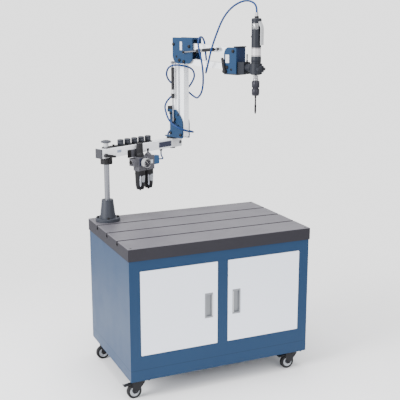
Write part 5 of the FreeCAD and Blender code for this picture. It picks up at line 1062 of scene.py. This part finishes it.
@dataclass(frozen=True)
class Tool(Section):
    """Tilt housing, clamp, air motor, chuck and tap, in the arm's frame; sizes in metres.

    Args:
        knurl_depth: Height of the knurls' ridges.
        reach: Distance of the tool's axis from the arm's foot.
        threads: Number of turns of the tap's thread.
        thread_foot: Height of the lowest turn above the beam's foot.
        thread_pitch: Distance between two turns.
    """

    PLAIN = {"tilt_housing": TOOL_GREY, "tilt_lever": BLACK, "tool_clamp": TOOL_GREY, "motor_sleeve": SLEEVE,
             "throttle_lever": ALLOY, "reverse_button": BLACK, "quick_coupling": STEEL}
    ZONED = {
        "motor_body": (TOOL_GREY, BoxZone(ARM, (0.61, -0.03, 0.6808), (0.68, 0.03, 0.71), STEEL),
                       BoxZone(ARM, (0.61, -0.03, 0.6712), (0.68, 0.03, 0.6808), BLACKENED)),
        "tap_chuck": (CHUCK, BoxZone(ARM, (0.64, -0.01, 0.18), (0.66, 0.01, 0.2868), BLACKENED)),
    }
    KNURLS = (("gearbox_knurl", 0.0250, 0.456, 0.480, 56, "tool_holder", TOOL_GREY),
              ("chuck_knurl_high", 0.0192, 0.329, 0.359, 44, "spindle", CHUCK),
              ("chuck_knurl_low", 0.0190, 0.295, 0.319, 44, "spindle", CHUCK),
              ("coupling_knurl", 0.0125, 0.3635, 0.3725, 32, "coupling", STEEL),
              ("motor_cap_knurl", 0.0250, 0.656, 0.664, 56, "tool_holder", TOOL_GREY))
    knurl_depth: float = 0.0006
    reach: float = 0.647
    threads: int = 34
    thread_foot: float = 0.205
    thread_pitch: float = 0.00105

    def build(self) -> None:
        """Adds the knurls, the tap's thread, the sleeve's rings, the saddle and the clamp's nut."""
        shop, axis = self.shop, ARM.at(self.reach, 0.0, 0.0)
        for name, radius, low, high, ridges, body, finish in self.KNURLS:
            shop.add(name, ridged_band(radius, self.knurl_depth, low, high, ridges), axis, body, finish)
        thread = []
        for number in range(self.threads):
            up = self.thread_foot + self.thread_pitch * number
            thread += [(0.00485, up), (0.00525, up + 0.0004), (0.00485, up + 0.0008)]
        shop.add("tap_thread", turned(thread, 24), axis, "spindle", BLACKENED, 60.0)
        for number, up in enumerate((0.4875, 0.5225)):
            ring = turned([(0.0235, -0.0012), (0.0247, -0.0008), (0.0247, 0.0008), (0.0235, 0.0012)], 48)
            shop.add(f"sleeve_ring_{number}", ring, ARM.at(self.reach, 0.0, up), "tool_holder", TOOL_GREY)
        shop.add("throttle_saddle", self.saddle(), axis, "tool_holder", ALLOY)
        nut = turned([(0.0088, 0.0), (0.0088, 0.010), (0.0080, 0.0118), (0.0, 0.0118)], 6)
        place = ARM.at(0.686, 0.010, 0.422) @ Matrix.Rotation(math.radians(-90), 4, "X")
        shop.add("clamp_nut", nut, place, "tool_holder", BLACKENED, 20.0)

    def saddle(self) -> Shape:
        """Bright plate bent round the motor beside the throttle lever.

        Returns:
            Its mesh.
        """
        shape = bmesh.new()
        columns, first, last = 14, -102.0, -27.0
        angles = [math.radians(first + (last - first) * column / columns) for column in range(columns + 1)]
        profile = ((0.617, 0.0252), (0.6185, 0.0262), (0.6445, 0.0262), (0.646, 0.0252))
        bridge(shape, [[shape.verts.new((reach * math.cos(a), reach * math.sin(a), up)) for a in angles]
                       for up, reach in profile], closed=False)
        bmesh.ops.solidify(shape, geom=shape.faces[:], thickness=0.0008)
        return shape


@dataclass(frozen=True)
class HoseSpan:
    """One run of the air hose between two bodies.

    Args:
        name: Name of the piece.
        first: Body at its start; not used.
        last: Body at its end; not used.
        start: Where the run would start to follow the last body, in the arm's frame; not used.
        end: Where the run would follow only the last body, in the arm's frame; not used.
        node: The frame's node that it stands for, if any.
        route: The route's corners in the arm's frame, in metres.
    """

    name: str
    first: str
    last: str
    start: Point
    end: Point
    node: str
    route: tuple[Point, ...]


HOSE = (
    HoseSpan("air_hose_beam", "beam", "arm_base", (0, 0, -0.020), (0, 0, 0.040), "hose_beam_span", (
        (-0.035358, 0.029374, -0.025), (-0.062278, 0.027303, -0.025), (-0.086, 0.036, 0.000),
        (-0.080, 0.048, 0.030), (-0.040, 0.060, 0.046), (0.015, 0.063, 0.047), (0.060, 0.060, 0.044),
        (0.089, 0.057, 0.04275),
    )),
    HoseSpan("air_hose_bracket", "arm_base", "rear_bar", (0, 0, 0.060), (0, 0, 0.200), "hose_lower_span", (
        (0.089, 0.057, 0.04275), (0.118, 0.054, 0.0415), (0.141, 0.032, 0.044), (0.143, -0.004, 0.052),
        (0.132, -0.034, 0.063), (0.106, -0.053, 0.074), (0.072, -0.061, 0.090), (0.045, -0.061, 0.109),
        (0.022, -0.057, 0.131), (0.002, -0.050, 0.156), (-0.020, -0.038, 0.180), (-0.033, -0.015, 0.202),
        (-0.033, 0.008, 0.223), (-0.019, 0.024, 0.241), (0.008, 0.030, 0.254), (0.025, 0.0305, 0.259),
    )),
    HoseSpan("air_hose_lower_arm", "rear_bar", "elbow", (0.050, 0, 0), (0.190, 0, 0), "", (
        (0.025, 0.0305, 0.259), (0.042, 0.031, 0.264), (0.080, 0.030, 0.276), (0.112, 0.030, 0.297),
        (0.138, 0.030, 0.325), (0.152, 0.034, 0.354), (0.152, 0.028, 0.384), (0.146, 0.010, 0.402),
        (0.139, -0.014, 0.411), (0.122, -0.038, 0.417), (0.098, -0.055, 0.419), (0.072, -0.061, 0.415),
        (0.044, -0.060, 0.404), (0.020, -0.054, 0.384), (0.004, -0.044, 0.358), (0.000, -0.028, 0.333),
        (0.002, -0.006, 0.312), (0.010, 0.018, 0.296), (0.030, 0.036, 0.285), (0.060, 0.044, 0.276),
        (0.092, 0.043, 0.264), (0.122, 0.039, 0.252), (0.152, 0.032, 0.243), (0.182, 0.020, 0.240),
        (0.209, 0.006, 0.2435), (0.2345, -0.006, 0.25625),
    )),
    HoseSpan("air_hose_elbow", "elbow", "top_bar", (0.234, 0, 0.252), (0.270, 0, 0.370), "hose_upper_span", (
        (0.2345, -0.006, 0.25625), (0.260, -0.018, 0.269), (0.284, -0.028, 0.302), (0.300, -0.038, 0.348),
        (0.307, -0.048, 0.401), (0.304, -0.056, 0.454), (0.294, -0.061, 0.498), (0.281, -0.059, 0.533),
        (0.268, -0.044, 0.561), (0.255, -0.019, 0.573), (0.245, 0.007, 0.569), (0.239, 0.026, 0.548),
        (0.237, 0.034, 0.519), (0.238, 0.036, 0.488), (0.243, 0.036, 0.458), (0.252, 0.032, 0.429),
        (0.265, 0.019, 0.404), (0.2815, 0.0005, 0.3935),
    )),
    HoseSpan("air_hose_upper_arm", "top_bar", "head", (0.290, 0, 0), (0.458, 0, 0), "hose_tool_span", (
        (0.2815, 0.0005, 0.3935), (0.298, -0.018, 0.383), (0.317, -0.034, 0.389), (0.338, -0.048, 0.408),
        (0.358, -0.058, 0.437), (0.375, -0.064, 0.472), (0.388, -0.065, 0.509), (0.402, -0.061, 0.549),
        (0.417, -0.054, 0.592), (0.433, -0.047, 0.634), (0.451, -0.038, 0.673), (0.463, -0.033, 0.6895),
    )),
    HoseSpan("air_hose_tool", "head", "tool_holder", (0.465, 0, 0), (0.645, 0, 0), "", (
        (0.463, -0.033, 0.6895), (0.475, -0.028, 0.706), (0.505, -0.018, 0.732), (0.541, -0.009, 0.750),
        (0.579, -0.003, 0.757), (0.611, 0.000, 0.752), (0.637, 0.000, 0.738), (0.647, 0.000, 0.716),
        (0.647, 0.000, 0.698),
    )),
)


@dataclass(frozen=True)
class AirHose:
    """The blue air hose from the beam to the tool, in runs.

    Args:
        radius: Radius of the hose in metres.
        sides: Number of sides of its section.
        least_step: Points closer than this in metres are joined.
    """

    radius: float = 0.0050
    sides: int = 20
    least_step: float = 0.0002

    def line(self, span: HoseSpan) -> list[Vector]:
        """Reads the points that a run follows from its spline.

        Args:
            span: The run.

        Returns:
            The points in the model, without doubles.
        """
        curve = bpy.data.curves.new(f"{span.name}_line", "CURVE")
        curve.dimensions = "3D"
        curve.resolution_u = 7
        spline = curve.splines.new("NURBS")
        spline.points.add(len(span.route) - 1)
        for point, corner in zip(spline.points, span.route):
            point.co = (*ARM.point(*corner), 1.0)
        spline.order_u = 3
        spline.use_endpoint_u = True
        carrier = bpy.data.objects.new(f"{span.name}_line", curve)
        bpy.context.scene.collection.objects.link(carrier)
        bpy.context.view_layer.update()
        mesh = bpy.data.meshes.new_from_object(carrier)
        points = [vertex.co.copy() for vertex in mesh.vertices]
        bpy.data.meshes.remove(mesh)
        bpy.data.objects.remove(carrier)
        bpy.data.curves.remove(curve)
        kept = [points[0]]
        for point in points[1:]:
            if (point - kept[-1]).length > self.least_step:
                kept.append(point)
        return kept

    def tube(self, points: list[Vector]) -> Shape:
        """Sweeps a round section along points without twist.

        Args:
            points: The points in the model.

        Returns:
            A closed tube.
        """
        shape = bmesh.new()
        tangents = [(points[min(k + 1, len(points) - 1)] - points[max(k - 1, 0)]).normalized()
                    for k in range(len(points))]
        side = tangents[0].orthogonal().normalized()
        rings = []
        for index, point in enumerate(points):
            if index:
                side = tangents[index - 1].rotation_difference(tangents[index]) @ side
                side = (side - tangents[index] * side.dot(tangents[index])).normalized()
            other = tangents[index].cross(side)
            angles = [2 * math.pi * k / self.sides for k in range(self.sides)]
            rings.append([shape.verts.new(point + (side * math.cos(a) + other * math.sin(a)) * self.radius)
                          for a in angles])
        bridge(shape, rings)
        cap(shape, rings)
        return shape

    def build(self) -> None:
        for span in HOSE:
            points = self.line(span)
            mesh = bpy.data.meshes.new(span.name)
            shape = self.tube(points)
            shape.to_mesh(mesh)
            shape.free()
            mesh.set_sharp_from_angle(angle=math.radians(50))
            mesh.materials.append(HOSE_BLUE.material())
            hose = bpy.data.objects.new(span.name, mesh)
            bpy.context.scene.collection.objects.link(hose)
            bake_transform(hose)
            if span.node:
                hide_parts(span.node)


@dataclass(frozen=True)
class Studio:
    """Camera, pale floor and soft light.

    Args:
        lens: Focal length in millimetres.
        sensor: Width of the sensor in millimetres.
        stand: Where the camera stands, in metres.
        pitch: Degrees that it looks down.
        heading: Degrees that it is turned about the upright.
        light_size: Side of a light in metres.
        glow: Strength of the surround as a light.
        backdrop: Strength of the surround as the camera sees it.
        floor_radius: Radius of the floor in metres.
    """

    lens: float = 72.32
    sensor: float = 36.0
    stand: Point = (-1.6660, -3.79385, 1.86777)
    pitch: float = 13.035
    heading: float = -23.942
    light_size: float = 3.0
    glow: float = 1.25
    backdrop: float = 2.2
    floor_radius: float = 4.0
    LIGHTS = (("key_light", (-6.0, -1.2, 3.0), (0.0, 0.0, 0.8), 760.0),
              ("front_fill", (0.8, -5.0, 2.8), (0.0, 0.0, 1.5), 130.0),
              ("top_light", (0.0, 0.4, 4.6), (0.0, 0.0, 0.8), 180.0))
    FADE = {"From Min": 0.9, "From Max": 2.6, "To Min": 1.0, "To Max": 0.0}

    def build(self) -> None:
        """Makes the camera, the floor and the lights."""
        self.camera()
        self.floor()
        for name, place, target, power in self.LIGHTS:
            self.light(name, place, target, power)
        self.surround()

    def surround(self) -> None:
        """Makes a white surround that lights softly and shows brighter behind the machine."""
        world = bpy.data.worlds.new("white_studio")
        world.use_nodes = True
        graph = Graph(world.node_tree)
        white = (1.0, 1.0, 1.0, 1.0)
        soft = graph.feed(world.node_tree.nodes["Background"], {"Color": white, "Strength": self.glow})
        seen = graph.add("Background", {"Color": white, "Strength": self.backdrop})
        path = world.node_tree.nodes.new("ShaderNodeLightPath")
        both = graph.add("MixShader", {0: path.outputs["Is Camera Ray"], 1: soft.outputs["Background"],
                                       2: seen.outputs["Background"]})
        graph.feed(world.node_tree.nodes["World Output"], {"Surface": both.outputs["Shader"]})
        bpy.context.scene.world = world

    def camera(self) -> None:
        """Puts the camera where the photo was taken from."""
        data = bpy.data.cameras.new("photo_camera")
        data.lens = self.lens
        data.sensor_width = self.sensor
        camera = bpy.data.objects.new("photo_camera", data)
        camera.location = self.stand
        camera.rotation_euler = (math.radians(90 - self.pitch), 0.0, math.radians(self.heading))
        bpy.context.scene.collection.objects.link(camera)
        bpy.context.scene.camera = camera

    def floor(self) -> None:
        """Adds a round pale floor under the wheels that fades into the background."""
        shape = bmesh.new()
        shape.faces.new(circle(shape, self.floor_radius, 0.0, 64))
        mesh = bpy.data.meshes.new("studio_floor")
        shape.to_mesh(mesh)
        shape.free()
        floor = bpy.data.objects.new("studio_floor", mesh)
        mesh.materials.append(self.floor_material())
        bpy.context.scene.collection.objects.link(floor)

    def floor_material(self) -> bpy.types.Material:
        """Pale floor finish that turns clear away from the machine.

        Returns:
            The material.
        """
        material = PALE.material()
        graph = Graph(material.node_tree)
        fade = graph.tree.nodes.new("ShaderNodeMapRange")
        fade.interpolation_type = "SMOOTHSTEP"
        graph.feed(fade, {"Value": graph.vector("LENGTH", graph.place()), **self.FADE})
        graph.feed(graph.tree.nodes["Principled BSDF"], {"Alpha": fade.outputs["Result"]})
        return material

    def light(self, name: str, place: Point, target: Point, power: float) -> None:
        """Adds a soft square light.

        Args:
            name: Name of the light.
            place: Where it stands.
            target: What it points at.
            power: Watts.
        """
        data = bpy.data.lights.new(name, "AREA")
        data.size = self.light_size
        data.energy = power
        lamp = bpy.data.objects.new(name, data)
        lamp.location = place
        lamp.rotation_euler = (Vector(target) - Vector(place)).to_track_quat("-Z", "Y").to_euler()
        bpy.context.scene.collection.objects.link(lamp)


def clear_scene() -> None:
    """Takes away what a new file starts with."""
    for item in list(bpy.data.objects):
        bpy.data.objects.remove(item)


def main() -> None:
    """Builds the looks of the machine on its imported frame."""
    logging.basicConfig(level=logging.INFO, format="%(name)s: %(message)s")
    clear_scene()
    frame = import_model()
    Studio().build()
    shop = Workshop(frame["nodes"])
    AirHose().build()
    for section in (Cart(shop), Beam(shop), Arm(shop), Tool(shop)):
        section.dress()
        section.build()


if __name__ == "__main__":
    main()
